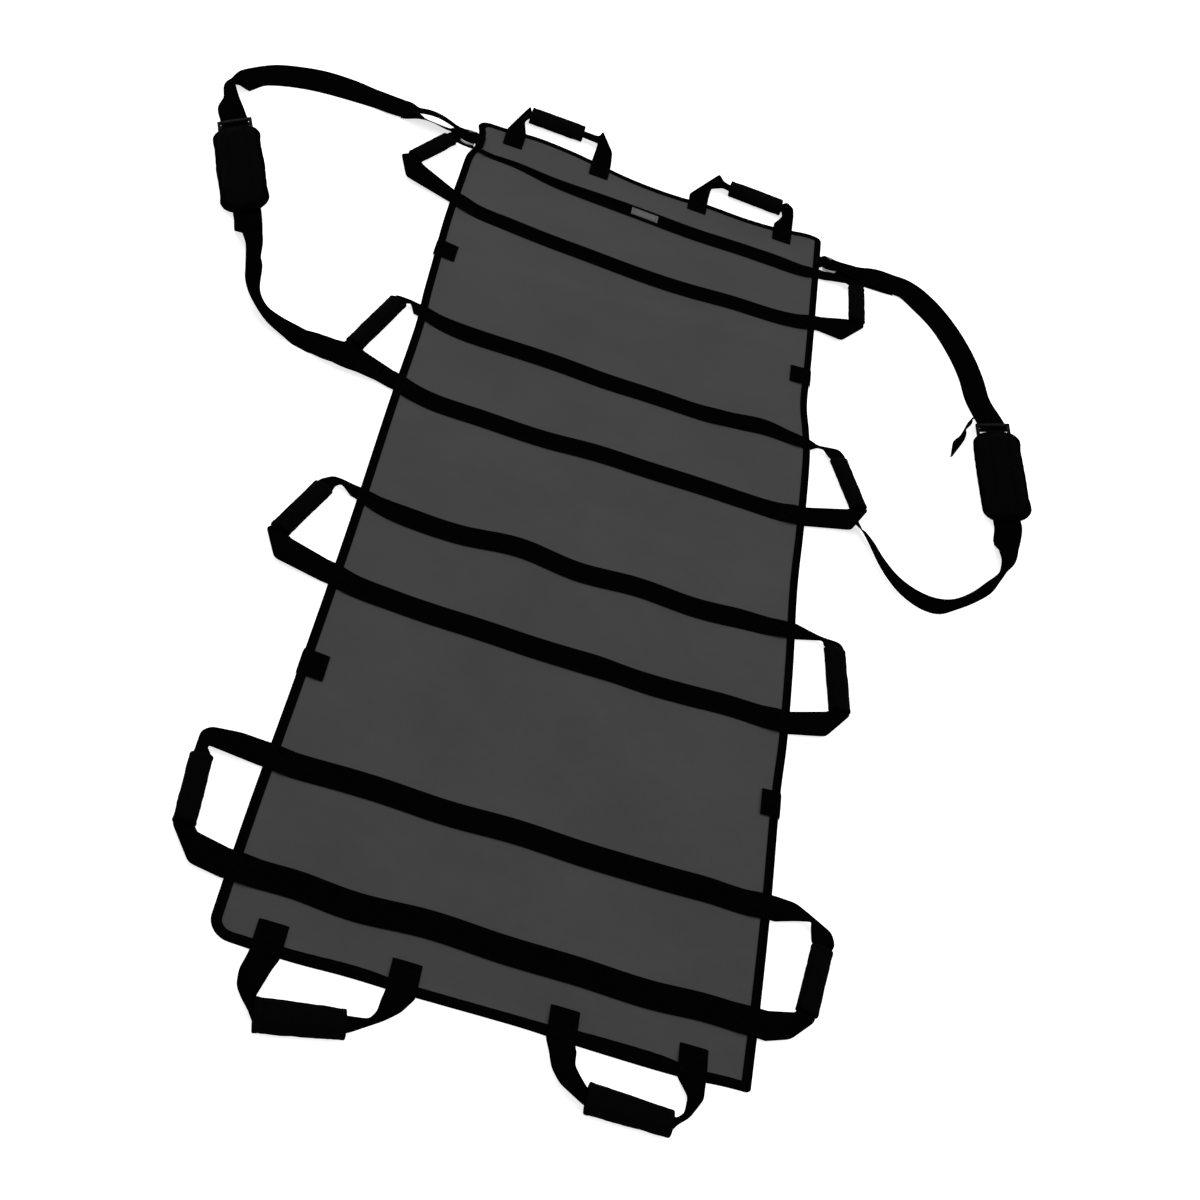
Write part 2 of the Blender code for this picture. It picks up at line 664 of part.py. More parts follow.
def make_pad(side):
    """A cushion with a crowned top, sides drawn in at the middle of each run and rounded corners."""
    frame = pad_frame(side)
    over_web = WEB_THICKNESS + CLEAR
    columns = 16
    half_x = PAD_WIDTH / 2
    half_y = PAD_LENGTH / 2
    radius = PAD_WIDTH * 0.24
    outline = []
    for corner, (sx, sy) in enumerate(((1, 1), (-1, 1), (-1, -1), (1, -1))):
        for k in range(columns // 4):
            turn = math.radians(90 * (corner + k / (columns // 4 - 1)))
            x = sx * (half_x - radius) + radius * math.cos(turn)
            y = sy * (half_y - radius) + radius * math.sin(turn)
            outline.append(Vector((x, y)))
        if corner % 2 == 0:
            outline += [Vector((sx * t * (half_x - radius), sy * half_y)) for t in (0.4, -0.4)]
        else:
            middle = half_x - PAD_DRAWN_IN * 0.25
            outline += [Vector((sx * middle, sy * t * (half_y - radius))) for t in (0.4, -0.4)]
    rings = []
    for share, height in ((0.86, 0.0), (0.975, 0.22), (1.0, 0.45), (0.96, 0.72), (0.82, 0.90), (0.50, 1.0)):
        inset = PAD_WIDTH / 2 * (1 - share)
        ring = []
        for point in outline:
            moved = Vector((point.x * share, point.y * (1 - inset / half_y)))
            ring.append(frame @ Vector((moved.x, moved.y, over_web + height * PAD_THICKNESS)))
        rings.append(ring)
    verts, faces = rings_to_solid(rings)
    solid(f"shoulder_pad_{side}", verts, faces, PADDING, (SIGNS[side] * FOLD_X, 0, FOLD_Z), smooth=True)


def buckle_middle():
    return PAD_LENGTH / 2 + CLEAR + BUCKLE_LENGTH / 2


def make_buckle(side):
    """A ladder frame of three bars and two slots at the pad's upper end."""
    frame = pad_frame(side) @ Matrix.Translation((0, buckle_middle(), 0))
    slot_half = STRAP_WIDTH / 2 + BUCKLE_SIDE_CLEAR
    slot = (BUCKLE_LENGTH - 3 * BUCKLE_BAR) / 2
    xs = (-slot_half - BUCKLE_BAR, -slot_half, slot_half, slot_half + BUCKLE_BAR)
    start = -BUCKLE_LENGTH / 2
    lower_bar = (start, start + BUCKLE_BAR)
    middle_bar = (start + BUCKLE_BAR + slot, start + 2 * BUCKLE_BAR + slot)
    ys = (*lower_bar, *middle_bar, -start - BUCKLE_BAR, -start)
    holes = {(1, 1), (1, 3)}
    low = WEB_THICKNESS + CLEAR
    levels = (low, low + BUCKLE_THICKNESS)
    verts = [frame @ Vector((x, y, z)) for z in levels for y in ys for x in xs]
    columns = len(xs)
    layer = columns * len(ys)
    cells = {(i, j) for i in range(len(xs) - 1) for j in range(len(ys) - 1)} - holes
    faces = []
    for i, j in cells:
        a = j * columns + i
        floor = (a, a + 1, a + 1 + columns, a + columns)
        faces.append(floor[::-1])
        faces.append(tuple(k + layer for k in floor))
        walls = {(i, j - 1): (0, 1), (i + 1, j): (1, 2), (i, j + 1): (2, 3), (i - 1, j): (3, 0)}
        for neighbour, (p, q) in walls.items():
            if neighbour not in cells:
                faces.append((floor[p], floor[q], floor[q] + layer, floor[p] + layer))
    solid(f"strap_buckle_{side}", verts, faces, PLASTIC, (SIGNS[side] * FOLD_X, 0, FOLD_Z))


def make_upper_web(side):
    """The web from its sewn lap, round the ring's bow and out to the buckle at the pad."""
    sign = SIGNS[side]
    y = ring_place(side)
    gap = RING_WIRE / 2 + RING_RUNNING_GAP
    bend = gap + WEB_THICKNESS / 2
    beside = (STRAP_LOOP_WIDTH + RING_WIRE / 2) / (RING_INSIDE + RING_WIRE)
    bow_at_edge = RING_DEPTH * math.cos(math.asin(beside)) ** 0.5
    turn_x = FOLD_X + bow_at_edge
    past_bow = FOLD_X + RING_DEPTH + RING_WIRE
    half = Vector((0, STRAP_LOOP_WIDTH / 2, 0))
    frame = pad_frame(side)
    slot_y = buckle_middle() + BUCKLE_BAR
    entry = frame @ Vector((0, slot_y + BUCKLE_LENGTH, 0))
    near = (past_bow - FOLD_X, y / HALF_LENGTH, 0, STRAP_LOOP_WIDTH)
    beyond = (past_bow - FOLD_X + 0.010, y / HALF_LENGTH, 0, STRAP_LOOP_WIDTH)
    arrive = (abs(entry.x) - FOLD_X, entry.y / HALF_LENGTH, 5, STRAP_WIDTH)
    route = [near] + smooth_route([beyond, *UPPER_ROUTES[side], arrive], 3)
    distance = [0.0]
    for one, two in zip(route, route[1:]):
        distance.append(distance[-1] + math.hypot(two[0] - one[0], (two[1] - one[1]) * HALF_LENGTH))
    open_gap = 2 * bend
    closed_gap = WEB_THICKNESS + 3 * CLEAR
    under_ring = FOLD_Z - bend - CLEAR - WEB_THICKNESS / 2
    lifts = []
    gaps = []
    for far in distance:
        share = min(far / STRAP_LAP_LENGTH, 1.0)
        spread = open_gap + (closed_gap - open_gap) * share + STRAP_LAP_BULGE * math.sin(math.pi * share)
        fade = 1 - min(max(far - STRAP_LAP_LENGTH * 1.15, 0.0) / (STRAP_LAP_LENGTH * 0.4), 1.0)
        gaps.append(spread)
        lifts.append(spread * fade + under_ring * (1 - share))
    main = lay(side, route, lifts)
    lower = []
    for i, (centre, across, width) in enumerate(main):
        if distance[i] > STRAP_LAP_LENGTH:
            break
        along = (main[i + 1][0] - main[max(i - 1, 0)][0]).normalized()
        down = along.cross(across).normalized()
        if down.z > 0:
            down = -down
        lower.append((centre + down * gaps[i], across, width))
    pairs = [pair for pair in to_pairs(lower)[::-1]]
    first_centre = (pairs[-1][0] + pairs[-1][1]) / 2
    side_vector = Vector((0, -half.y if pairs[-1][1].y < pairs[-1][0].y else half.y, 0))
    for k in range(7):
        turn = math.radians(-90 - 30 * k)
        centre = Vector((sign * (turn_x + bend * math.cos(turn)), y, FOLD_Z + bend * math.sin(turn)))
        pairs.append((centre - side_vector, centre + side_vector))
    pairs += to_pairs(main)
    across = (frame.to_3x3() @ Vector((1, 0, 0))) * (STRAP_WIDTH / 2)
    if across.dot(pairs[-1][1] - pairs[-1][0]) < 0:
        across = -across
    under = WEB_THICKNESS / 2
    above = under + 2 * (CLEAR + WEB_THICKNESS / 2) + BUCKLE_THICKNESS
    slot = (BUCKLE_LENGTH - 3 * BUCKLE_BAR) / 2
    path = (
        (BUCKLE_LENGTH / 2 + 0.006, under),
        (BUCKLE_BAR / 2 + slot * 0.92, under),
        (BUCKLE_BAR / 2 + slot * 0.75, under + 0.0011),
        (BUCKLE_BAR / 2 + slot * 0.30, above - 0.0012),
        (BUCKLE_BAR / 2 + slot * 0.10, above),
        (-BUCKLE_BAR / 2, above),
    )
    for from_middle, z in path:
        centre = frame @ Vector((0, buckle_middle() + from_middle, z))
        pairs.append((centre - across, centre + across))
    ribbon(f"strap_upper_web_{side}", pairs, WEB_THICKNESS, WEBBING, (sign * FOLD_X, y, FOLD_Z))
    return first_centre


def make_lower_web(side, corner):
    """The web from the buckle, under the pad, to the folded corner of the second side handle."""
    sign = SIGNS[side]
    frame = pad_frame(side)
    slot = (BUCKLE_LENGTH - 3 * BUCKLE_BAR) / 2
    start = []
    in_slot = buckle_middle() - BUCKLE_BAR / 2 - slot * 0.6
    for along_pad in (in_slot, 0.004 - PAD_LENGTH / 2, -0.018 - PAD_LENGTH / 2):
        place = frame @ Vector((0, along_pad, 0))
        start.append((abs(place.x) - FOLD_X, place.y / HALF_LENGTH, 0.0, STRAP_WIDTH))
    route = start[:1] + smooth_route([*start[1:], *LOWER_ROUTES[side]], 2)
    pairs = to_pairs(lay(side, route))
    seam = (corner[1] - corner[0]).normalized()
    away = Vector((seam.y, -seam.x, 0))
    if away.x * sign < 0:
        away = -away
    middle = (corner[0] + corner[1]) / 2 + away * STRAP_SEAM_GAP
    ends = [middle + seam * (STRAP_END_WIDTH * share) for share in (-0.5, 0.5)]
    if (pairs[-1][1] - pairs[-1][0]).dot(ends[1] - ends[0]) < 0:
        ends = ends[::-1]
    pairs.append(tuple(ends))
    ribbon(f"strap_lower_web_{side}", pairs, WEB_THICKNESS, WEBBING, (sign * FOLD_X, ends[0].y, FOLD_Z))


def make_tail():
    """The loose end of the right strap's web beside the buckle."""
    pairs = to_pairs(lay("right", smooth_route(TAIL_ROUTE, 2)))
    ribbon("strap_tail_right", pairs, WEB_THICKNESS, WEBBING, (FOLD_X, 0, FOLD_Z))


for old in list(bpy.data.objects):
    bpy.data.objects.remove(old, do_unlink=True)

FABRIC = material("coated_fabric", (0.061, 0.061, 0.063), 0.75)
TAPE = material("edge_tape", (0.006, 0.006, 0.006), 0.85)
WEBBING = material("webbing", (0.006, 0.006, 0.006), 0.80)
PADDING = material("padded_fabric", (0.009, 0.009, 0.009), 0.85)
PATCH = material("label", (0.10, 0.10, 0.10), 0.70)
STEEL = material("plated_steel", (0.55, 0.55, 0.56), 0.30, 1.0)
PLASTIC = material("black_plastic", (0.008, 0.008, 0.008), 0.45)

make_sheet()
make_edge_binding()
for web_number in range(1, len(CROSS_WEB_LINES) + 1):
    make_cross_web(web_number)
sewn_corner = {}
for handle_side, handle_number in SIDE_HANDLES:
    found = make_side_handle(handle_side, handle_number)
    if handle_number == 2:
        sewn_corner[handle_side] = found
for handle_name in END_HANDLES:
    make_end_handle(handle_name)
for tab_name in EDGE_TAB_LINES:
    make_edge_tab(tab_name)
make_label()
for strap_side in SIGNS:
    make_d_ring(strap_side)
    make_ring_tab(strap_side)
    make_upper_web(strap_side)
    make_buckle(strap_side)
    make_pad(strap_side)
    make_lower_web(strap_side, sewn_corner[strap_side])
make_tail()
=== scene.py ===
"""Rescue sheet laid out on a pale floor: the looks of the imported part, made piece by piece in the
order in which such a sheet is sewn together. Metres, in the part's own frame: +X to the sheet's
right, +Y towards its head end, +Z up."""

import json
import math

import bmesh
import bpy
import numpy as np
from mathutils import Matrix, Vector, noise
from mathutils.bvhtree import BVHTree

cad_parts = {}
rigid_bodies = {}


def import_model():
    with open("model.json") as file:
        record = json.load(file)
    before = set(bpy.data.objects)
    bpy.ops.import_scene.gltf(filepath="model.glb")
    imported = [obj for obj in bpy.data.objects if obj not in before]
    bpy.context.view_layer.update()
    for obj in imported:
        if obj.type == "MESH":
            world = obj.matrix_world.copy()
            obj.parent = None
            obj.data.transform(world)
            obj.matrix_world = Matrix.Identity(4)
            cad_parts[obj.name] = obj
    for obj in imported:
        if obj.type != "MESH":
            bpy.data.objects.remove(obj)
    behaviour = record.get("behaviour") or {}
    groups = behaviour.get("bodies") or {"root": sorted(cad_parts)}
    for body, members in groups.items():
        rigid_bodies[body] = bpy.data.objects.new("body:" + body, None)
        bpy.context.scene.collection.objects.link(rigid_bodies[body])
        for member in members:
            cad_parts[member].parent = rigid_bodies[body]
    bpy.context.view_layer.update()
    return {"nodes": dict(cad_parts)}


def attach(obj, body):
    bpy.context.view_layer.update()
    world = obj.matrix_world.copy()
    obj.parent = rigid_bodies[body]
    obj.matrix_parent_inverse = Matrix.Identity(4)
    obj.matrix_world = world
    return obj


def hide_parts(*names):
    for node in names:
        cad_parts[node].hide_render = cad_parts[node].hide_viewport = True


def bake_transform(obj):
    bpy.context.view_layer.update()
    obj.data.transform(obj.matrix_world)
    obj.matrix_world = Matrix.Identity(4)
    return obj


for startup in list(bpy.data.objects):
    bpy.data.objects.remove(startup, do_unlink=True)
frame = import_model()

# Camera. It stands past the foot end of the sheet, to the left, and looks down at 43 degrees on
# the whole length, turned in its own frame so that the sheet runs up the picture from lower left.


def linked(name, data):
    """An object of this name that shows the data, put in the scene."""
    made = bpy.data.objects.new(name, data)
    bpy.context.scene.collection.objects.link(made)
    return made


camera_data = bpy.data.cameras.new("studio_camera")
camera_data.lens = 56.328
camera_data.sensor_width = 36.0
camera_data.clip_end = 60.0
camera = linked("studio_camera", camera_data)
camera.location = (-0.32200, -2.32765, 2.03362)
camera.rotation_euler = [math.radians(angle) for angle in (43.849, -17.729, 7.718)]
bpy.context.scene.camera = camera

# Sheet. One rectangle of coated polyester cloth, which lies on the ground in low waves and is
# lifted along its margin by the binding's lower leg.
HALF_WIDTH = 0.365
HALF_LENGTH = 1.000
CLOTH_THICKNESS = 0.0012
MARGIN_LIFT = 0.0012
TAPE_COVER = 0.013
CORNER_RADII = {(1, 1): 0.012, (-1, 1): 0.027, (-1, -1): 0.030, (1, -1): 0.006}
# How far each edge bows out of its straight line: place along the edge, and the shift
LEFT_BOW = (
    (-1.0, -0.002), (-0.8, -0.0025), (-0.55, 0.001), (-0.24, 0.003), (0.08, 0.001), (0.30, 0.0015),
    (0.40, -0.0035), (0.50, -0.007), (0.64, -0.012), (0.80, -0.012), (0.87, -0.011), (0.905, -0.002),
    (0.955, -0.002), (0.985, -0.010), (1.0, -0.013),
)
RIGHT_BOW = (
    (-1.0, -0.006), (-0.88, -0.002), (-0.7, 0.002), (-0.5, 0.003), (-0.38, 0.0075), (-0.22, 0.008),
    (-0.04, 0.005), (0.12, 0.0085), (0.30, 0.0095), (0.38, 0.004), (0.46, -0.004), (0.60, -0.002),
    (0.85, -0.0015), (1.0, -0.002),
)
HEAD_BOW = (
    (-0.365, 0.008), (-0.30, 0.011), (-0.24, 0.018), (-0.18, 0.014), (-0.13, 0.006), (-0.06, -0.009),
    (0.0, -0.015), (0.06, -0.014), (0.12, -0.007), (0.20, -0.008), (0.27, -0.001), (0.33, 0.015),
    (0.365, 0.015),
)
FOOT_BOW = (
    (-0.365, 0.0), (-0.26, -0.004), (-0.18, -0.002), (-0.1, -0.003), (0.0, -0.002), (0.06, -0.002),
    (0.14, -0.005), (0.26, -0.006), (0.33, -0.001), (0.365, 0.0),
)
END_BOW_REACH = 0.20
# Low waves of cloth that lies loose: half their height, radians per metre across and along, and phase
WAVES = ((0.0016, 9.0, 3.3, 0.8), (0.0012, -5.5, 7.9, 2.1), (0.0007, 17.0, 11.0, 4.0))
# They start this far inside the side edges and the end edges, and are full from the second distance
SIDE_FADE = (0.026, 0.110)
END_FADE = (0.040, 0.130)
# Low creases left by folding the sheet away: two ends, height and half width
CREASES = (
    ((-0.30, 0.52), (0.28, 0.60), 0.0022, 0.030),
    ((-0.20, 0.02), (0.30, -0.09), 0.0020, 0.026),
    ((0.02, -0.24), (0.20, -0.62), 0.0026, 0.034),
    ((-0.28, -0.48), (0.10, -0.60), 0.0020, 0.028),
    ((-0.30, -0.78), (-0.16, -0.84), 0.0022, 0.024),
    ((0.24, 0.20), (0.12, 0.62), 0.0018, 0.026),
)
CREASE_FADE = 0.10


def through(points, steps):
    """A smooth curve through the points, each a tuple of numbers, as an array."""
    row = np.array(points, float)
    row = np.vstack([2 * row[0] - row[1], row, 2 * row[-1] - row[-2]])
    out = []
    for k in range(1, len(row) - 2):
        a, b, c, d = row[k - 1 : k + 3]
        for t in np.arange(steps) / steps:
            bend = (2 * a - 5 * b + 4 * c - d) * t**2 + (3 * b - a - 3 * c + d) * t**3
            out.append(0.5 * (2 * b + (c - a) * t + bend))
    out.append(row[-2])
    return np.array(out)


def ease(value, start, end):
    """A smooth step: 0 before the start, 1 past the end."""
    share = np.clip((value - start) / (end - start), 0.0, 1.0)
    return share * share * (3 - 2 * share)


def shift_at(bow, place):
    """How far an edge with this bow is shifted at a place along it."""
    line = through(bow, 12)
    return np.interp(place, line[:, 0], line[:, 1])


def cloth_height(x, y):
    """How far the cloth stands off the ground in its low waves, nothing at its edges."""
    wave = sum(half * (1 + np.sin(by_x * x + by_y * y + phase)) for half, by_x, by_y, phase in WAVES)
    for (x0, y0), (x1, y1), height, half_width in CREASES:
        length = math.hypot(x1 - x0, y1 - y0)
        ux, uy = (x1 - x0) / length, (y1 - y0) / length
        along = (x - x0) * ux + (y - y0) * uy
        beside = (y - y0) * ux - (x - x0) * uy
        ends = ease(along, 0.0, CREASE_FADE) * (1 - ease(along, length - CREASE_FADE, length))
        wave += height * ends * np.exp(-((beside / half_width) ** 2))
    inside = ease(HALF_WIDTH - np.abs(x), *SIDE_FADE) * ease(HALF_LENGTH - np.abs(y), *END_FADE)
    return wave * inside


def settle(x, y):
    """Where a point of the flat pattern lies on the ground, bowed edges included."""
    to_left = ease(-x, -HALF_WIDTH, HALF_WIDTH)
    to_head = ease(y, HALF_LENGTH - END_BOW_REACH, HALF_LENGTH)
    to_foot = ease(-y, HALF_LENGTH - END_BOW_REACH, HALF_LENGTH)
    dx = shift_at(LEFT_BOW, y) * to_left + shift_at(RIGHT_BOW, y) * (1 - to_left)
    dy = shift_at(HEAD_BOW, x) * to_head + shift_at(FOOT_BOW, x) * to_foot
    return x + dx, y + dy


def mesh_object(name, points, faces, uvs=None):
    """A mesh at the origin; uvs holds one pair for each corner of each face, in metres."""
    mesh = bpy.data.meshes.new(name)
    mesh.from_pydata([tuple(p) for p in points], [], faces)
    if uvs is not None:
        layer = mesh.uv_layers.new(name="web")
        layer.data.foreach_set("uv", np.array(uvs, np.float32).ravel())
    mesh.shade_smooth()
    return linked(name, mesh)


def linear(hex_colour):
    """An sRGB hex colour as the linear values that a shader takes."""
    values = [int(hex_colour[k : k + 2], 16) / 255 for k in (1, 3, 5)]
    return (*[v / 12.92 if v <= 0.04045 else ((v + 0.055) / 1.055) ** 2.4 for v in values], 1.0)


def add(tree, kind, links=(), **settings):
    """A node of this kind. A setting names a socket by its number, as _0, or one of its properties."""
    made = tree.nodes.new(kind)
    for name, value in settings.items():
        if name[0] == "_":
            made.inputs[int(name[1:])].default_value = value
        else:
            setattr(made, name, value)
    for socket, source in dict(links).items():
        tree.links.new(source, made.inputs[socket])
    return made


def finish_named(name, **surface):
    """A material with its Principled shader; surface sets the sockets that are the same all over."""
    made = bpy.data.materials.new(name)
    made.use_nodes = True
    shader = made.node_tree.nodes["Principled BSDF"]
    for socket, value in surface.items():
        shader.inputs[socket.replace("_", " ")].default_value = value
    return made, made.node_tree, shader


def shade_between(tree, shader, share, dark, light):
    """The base colour, from dark to light by the share that a socket gives at each point."""
    mixed = add(tree, "ShaderNodeMix", {0: share}, data_type="RGBA", _6=linear(dark), _7=linear(light))
    tree.links.new(mixed.outputs[2], shader.inputs["Base Color"])


def dull_between(tree, shader, grain, low, high):
    """The roughness, from low to high by the grain of a noise, which lies mostly from 0.3 to 0.7."""
    dull = add(tree, "ShaderNodeMapRange", {0: grain}, _1=0.3, _2=0.7, _3=low, _4=high)
    tree.links.new(dull.outputs[0], shader.inputs["Roughness"])


def bump_by(tree, shader, height, strength, distance, over=None):
    """Bumps of this height in metres, on top of other bumps where some are given."""
    links = {"Height": height} if over is None else {"Height": height, "Normal": over}
    bump = add(tree, "ShaderNodeBump", links, _0=strength, _1=distance)
    tree.links.new(bump.outputs[0], shader.inputs["Normal"])
    return bump.outputs[0]


# Oxford cloth of 600 denier polyester with a polyurethane coat: matt dark grey, a plain weave of
# 0.7 mm threads, drawn here at 1.4 mm so that it shows, and faint clouding that is partly painted
# shade, darker where its broad bumps dip, and partly random wear.
coated_cloth, tree, shader = finish_named("coated_oxford_cloth", Specular_IOR_Level=0.12)
place = add(tree, "ShaderNodeTexCoord").outputs["Object"]
threads = add(tree, "ShaderNodeVectorMath", {0: place}, operation="SCALE", _3=2 * math.pi / 0.0028)
split = add(tree, "ShaderNodeSeparateXYZ", {0: threads.outputs[0]})
warp = add(tree, "ShaderNodeMath", {0: split.outputs[0]}, operation="SINE")
weft = add(tree, "ShaderNodeMath", {0: split.outputs[1]}, operation="SINE")
weave = add(tree, "ShaderNodeMath", {0: warp.outputs[0], 1: weft.outputs[0]}, operation="MULTIPLY")
broad_bumps_and_shade = add(tree, "ShaderNodeTexNoise", {"Vector": place}, _2=5.0, _3=4.0, _4=0.55)
wear = add(tree, "ShaderNodeTexNoise", {"Vector": place}, _2=38.0, _3=5.0, _4=0.6)
both = add(tree, "ShaderNodeMath", {0: broad_bumps_and_shade.outputs[0], 1: wear.outputs[0]}, operation="ADD")
# The base colour is partly painted shade, darker where the broad bumps dip and lighter where they rise, and
# partly random wear from the finer noise.
painted_shade_and_wear = add(tree, "ShaderNodeMapRange", {0: both.outputs[0]}, _1=0.75, _2=1.25, _3=0.0, _4=1.0)
shade_between(tree, shader, painted_shade_and_wear.outputs[0], "#3A3A3B", "#404041")
dull_between(tree, shader, wear.outputs[0], 0.62, 0.78)
thread_bumps = bump_by(tree, shader, weave.outputs[0], 0.35, 0.00012)
bump_by(tree, shader, broad_bumps_and_shade.outputs[0], 0.5, 0.006, over=thread_bumps)

columns, rows = 96, 250
grid_x = np.linspace(-HALF_WIDTH, HALF_WIDTH, columns + 1)
grid_y = np.linspace(-HALF_LENGTH, HALF_LENGTH, rows + 1)
flat_x, flat_y = [part.ravel() for part in np.meshgrid(grid_x, grid_y)]
inset = np.minimum(HALF_WIDTH - np.abs(flat_x), HALF_LENGTH - np.abs(flat_y))
for (sx, sy), radius in CORNER_RADII.items():
    across = np.clip((sx * flat_x - (HALF_WIDTH - radius)) / radius, 0, 1)
    along = np.clip((sy * flat_y - (HALF_LENGTH - radius)) / radius, 0, 1)
    near = (across > 0) & (along > 0)
    curved_x = sx * (HALF_WIDTH - radius + radius * across * np.sqrt(1 - along**2 / 2))
    curved_y = sy * (HALF_LENGTH - radius + radius * along * np.sqrt(1 - across**2 / 2))
    flat_x, flat_y = np.where(near, curved_x, flat_x), np.where(near, curved_y, flat_y)
under = cloth_height(flat_x, flat_y) + MARGIN_LIFT * (1 - ease(inset, TAPE_COVER, 2 * TAPE_COVER))
laid_x, laid_y = settle(flat_x, flat_y)
top = np.stack([laid_x, laid_y, under + CLOTH_THICKNESS], 1)
bottom = np.stack([laid_x, laid_y, under], 1)
count = len(top)
line = columns + 1
corner = (np.arange(rows)[:, None] * line + np.arange(columns)[None]).ravel()
cells = np.stack([corner, corner + 1, corner + 1 + line, corner + line], 1)
faces = cells.tolist() + (cells[:, ::-1] + count).tolist()
rim = list(range(columns)) + [k * line + columns for k in range(rows)]
rim += [rows * line + k for k in range(columns, 0, -1)] + [k * line for k in range(rows, 0, -1)]
faces += [(a + count, b + count, b, a) for a, b in zip(rim, rim[1:] + rim[:1])]
cloth = mesh_object("cloth", np.vstack([top, bottom]), faces)
cloth.data.materials.append(coated_cloth)
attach(cloth, "sheet")
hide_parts("sheet")

# Binding. One woven polypropylene tape folded over the whole edge of the sheet and sewn down with
# a single row of lockstitch, which leaves it slightly puckered.
TAPE_THICKNESS = 0.0009
# Height of the folded tape's upper face, and its inner face's place inside the edge of the cloth
TAPE_TOP = 0.0036
TAPE_EDGE = -0.0003
# How much further in the tape reaches where the foot edge is rolled over: place across, and how far
ROLLED_EDGE = (
    (-0.365, 0.0), (-0.31, 0.001), (-0.26, 0.003), (-0.16, 0.004), (-0.10, 0.001), (0.06, 0.001),
    (0.11, 0.006), (0.17, 0.009), (0.24, 0.009), (0.29, 0.002), (0.365, 0.0),
)
# The roll begins this far from the foot edge, and is full from there
ROLL_START = 0.020
ROLL_FULL = 0.016
# An inner line round the sheet takes at most this share off a corner's radius
MOST_OFF_CORNER = 0.75
# The seam's place inside the edge, a stitch and the gap after it, the share of that which the stitch
# takes up, and how far its middle stands above the cloth
STITCH_INSET = 0.0095
STITCH_PITCH = 0.0042
STITCH_SHARE = 0.72
STITCH_PROUD = 0.0001
# The tape's top between stitches goes up and down by this much, by this turn from point to point
PUCKER_HEIGHT = 0.0002
PUCKER_TURN = 1.9


def edge_line(inset_by, spacing=0.006):
    """Points round the sheet at this distance inside its edge, the same number for any distance."""
    line = []
    corners = ((1, 1, 0), (-1, 1, 90), (-1, -1, 180), (1, -1, 270))
    for (sx, sy, start), (nx, ny, _) in zip(corners, corners[1:] + corners[:1]):
        full = CORNER_RADII[(sx, sy)]
        radius = full - min(inset_by, full * MOST_OFF_CORNER)
        centre = (sx * (HALF_WIDTH - inset_by - radius), sy * (HALF_LENGTH - inset_by - radius))
        for k in range(9):
            turn = math.radians(start + 90 * k / 8)
            line.append((centre[0] + radius * math.cos(turn), centre[1] + radius * math.sin(turn)))
        step = 2 * (HALF_WIDTH if sx == sy else HALF_LENGTH)
        pieces = int(step / spacing)
        other = CORNER_RADII[(nx, ny)]
        next_radius = other - min(inset_by, other * MOST_OFF_CORNER)
        first = line[-1]
        if nx != sx:
            last = (nx * (HALF_WIDTH - inset_by - next_radius), first[1])
        else:
            last = (first[0], ny * (HALF_LENGTH - inset_by - next_radius))
        for k in range(1, pieces):
            share = k / pieces
            line.append(tuple(a + (b - a) * share for a, b in zip(first, last)))
    return np.array(line)


def tape_line(inset_by):
    """The same line where it lies, bowed with the edges and wider where the foot edge is rolled."""
    x, y = edge_line(inset_by).T
    at_foot = ease(-y, HALF_LENGTH - ROLL_START, HALF_LENGTH - ROLL_FULL) * max(inset_by, 0.0) / TAPE_COVER
    rolled = shift_at(ROLLED_EDGE, x) * at_foot
    x, y = settle(x, y)
    return x, y + rolled


def face_outward(mesh, weld=False):
    """All faces of a closed mesh turned outward, points that fall together welded first."""
    work = bmesh.new()
    work.from_mesh(mesh)
    if weld:
        bmesh.ops.remove_doubles(work, verts=work.verts, dist=1e-6)
    bmesh.ops.recalc_face_normals(work, faces=work.faces)
    if work.calc_volume(signed=True) < 0:
        bmesh.ops.reverse_faces(work, faces=work.faces)
    work.to_mesh(mesh)
    work.free()


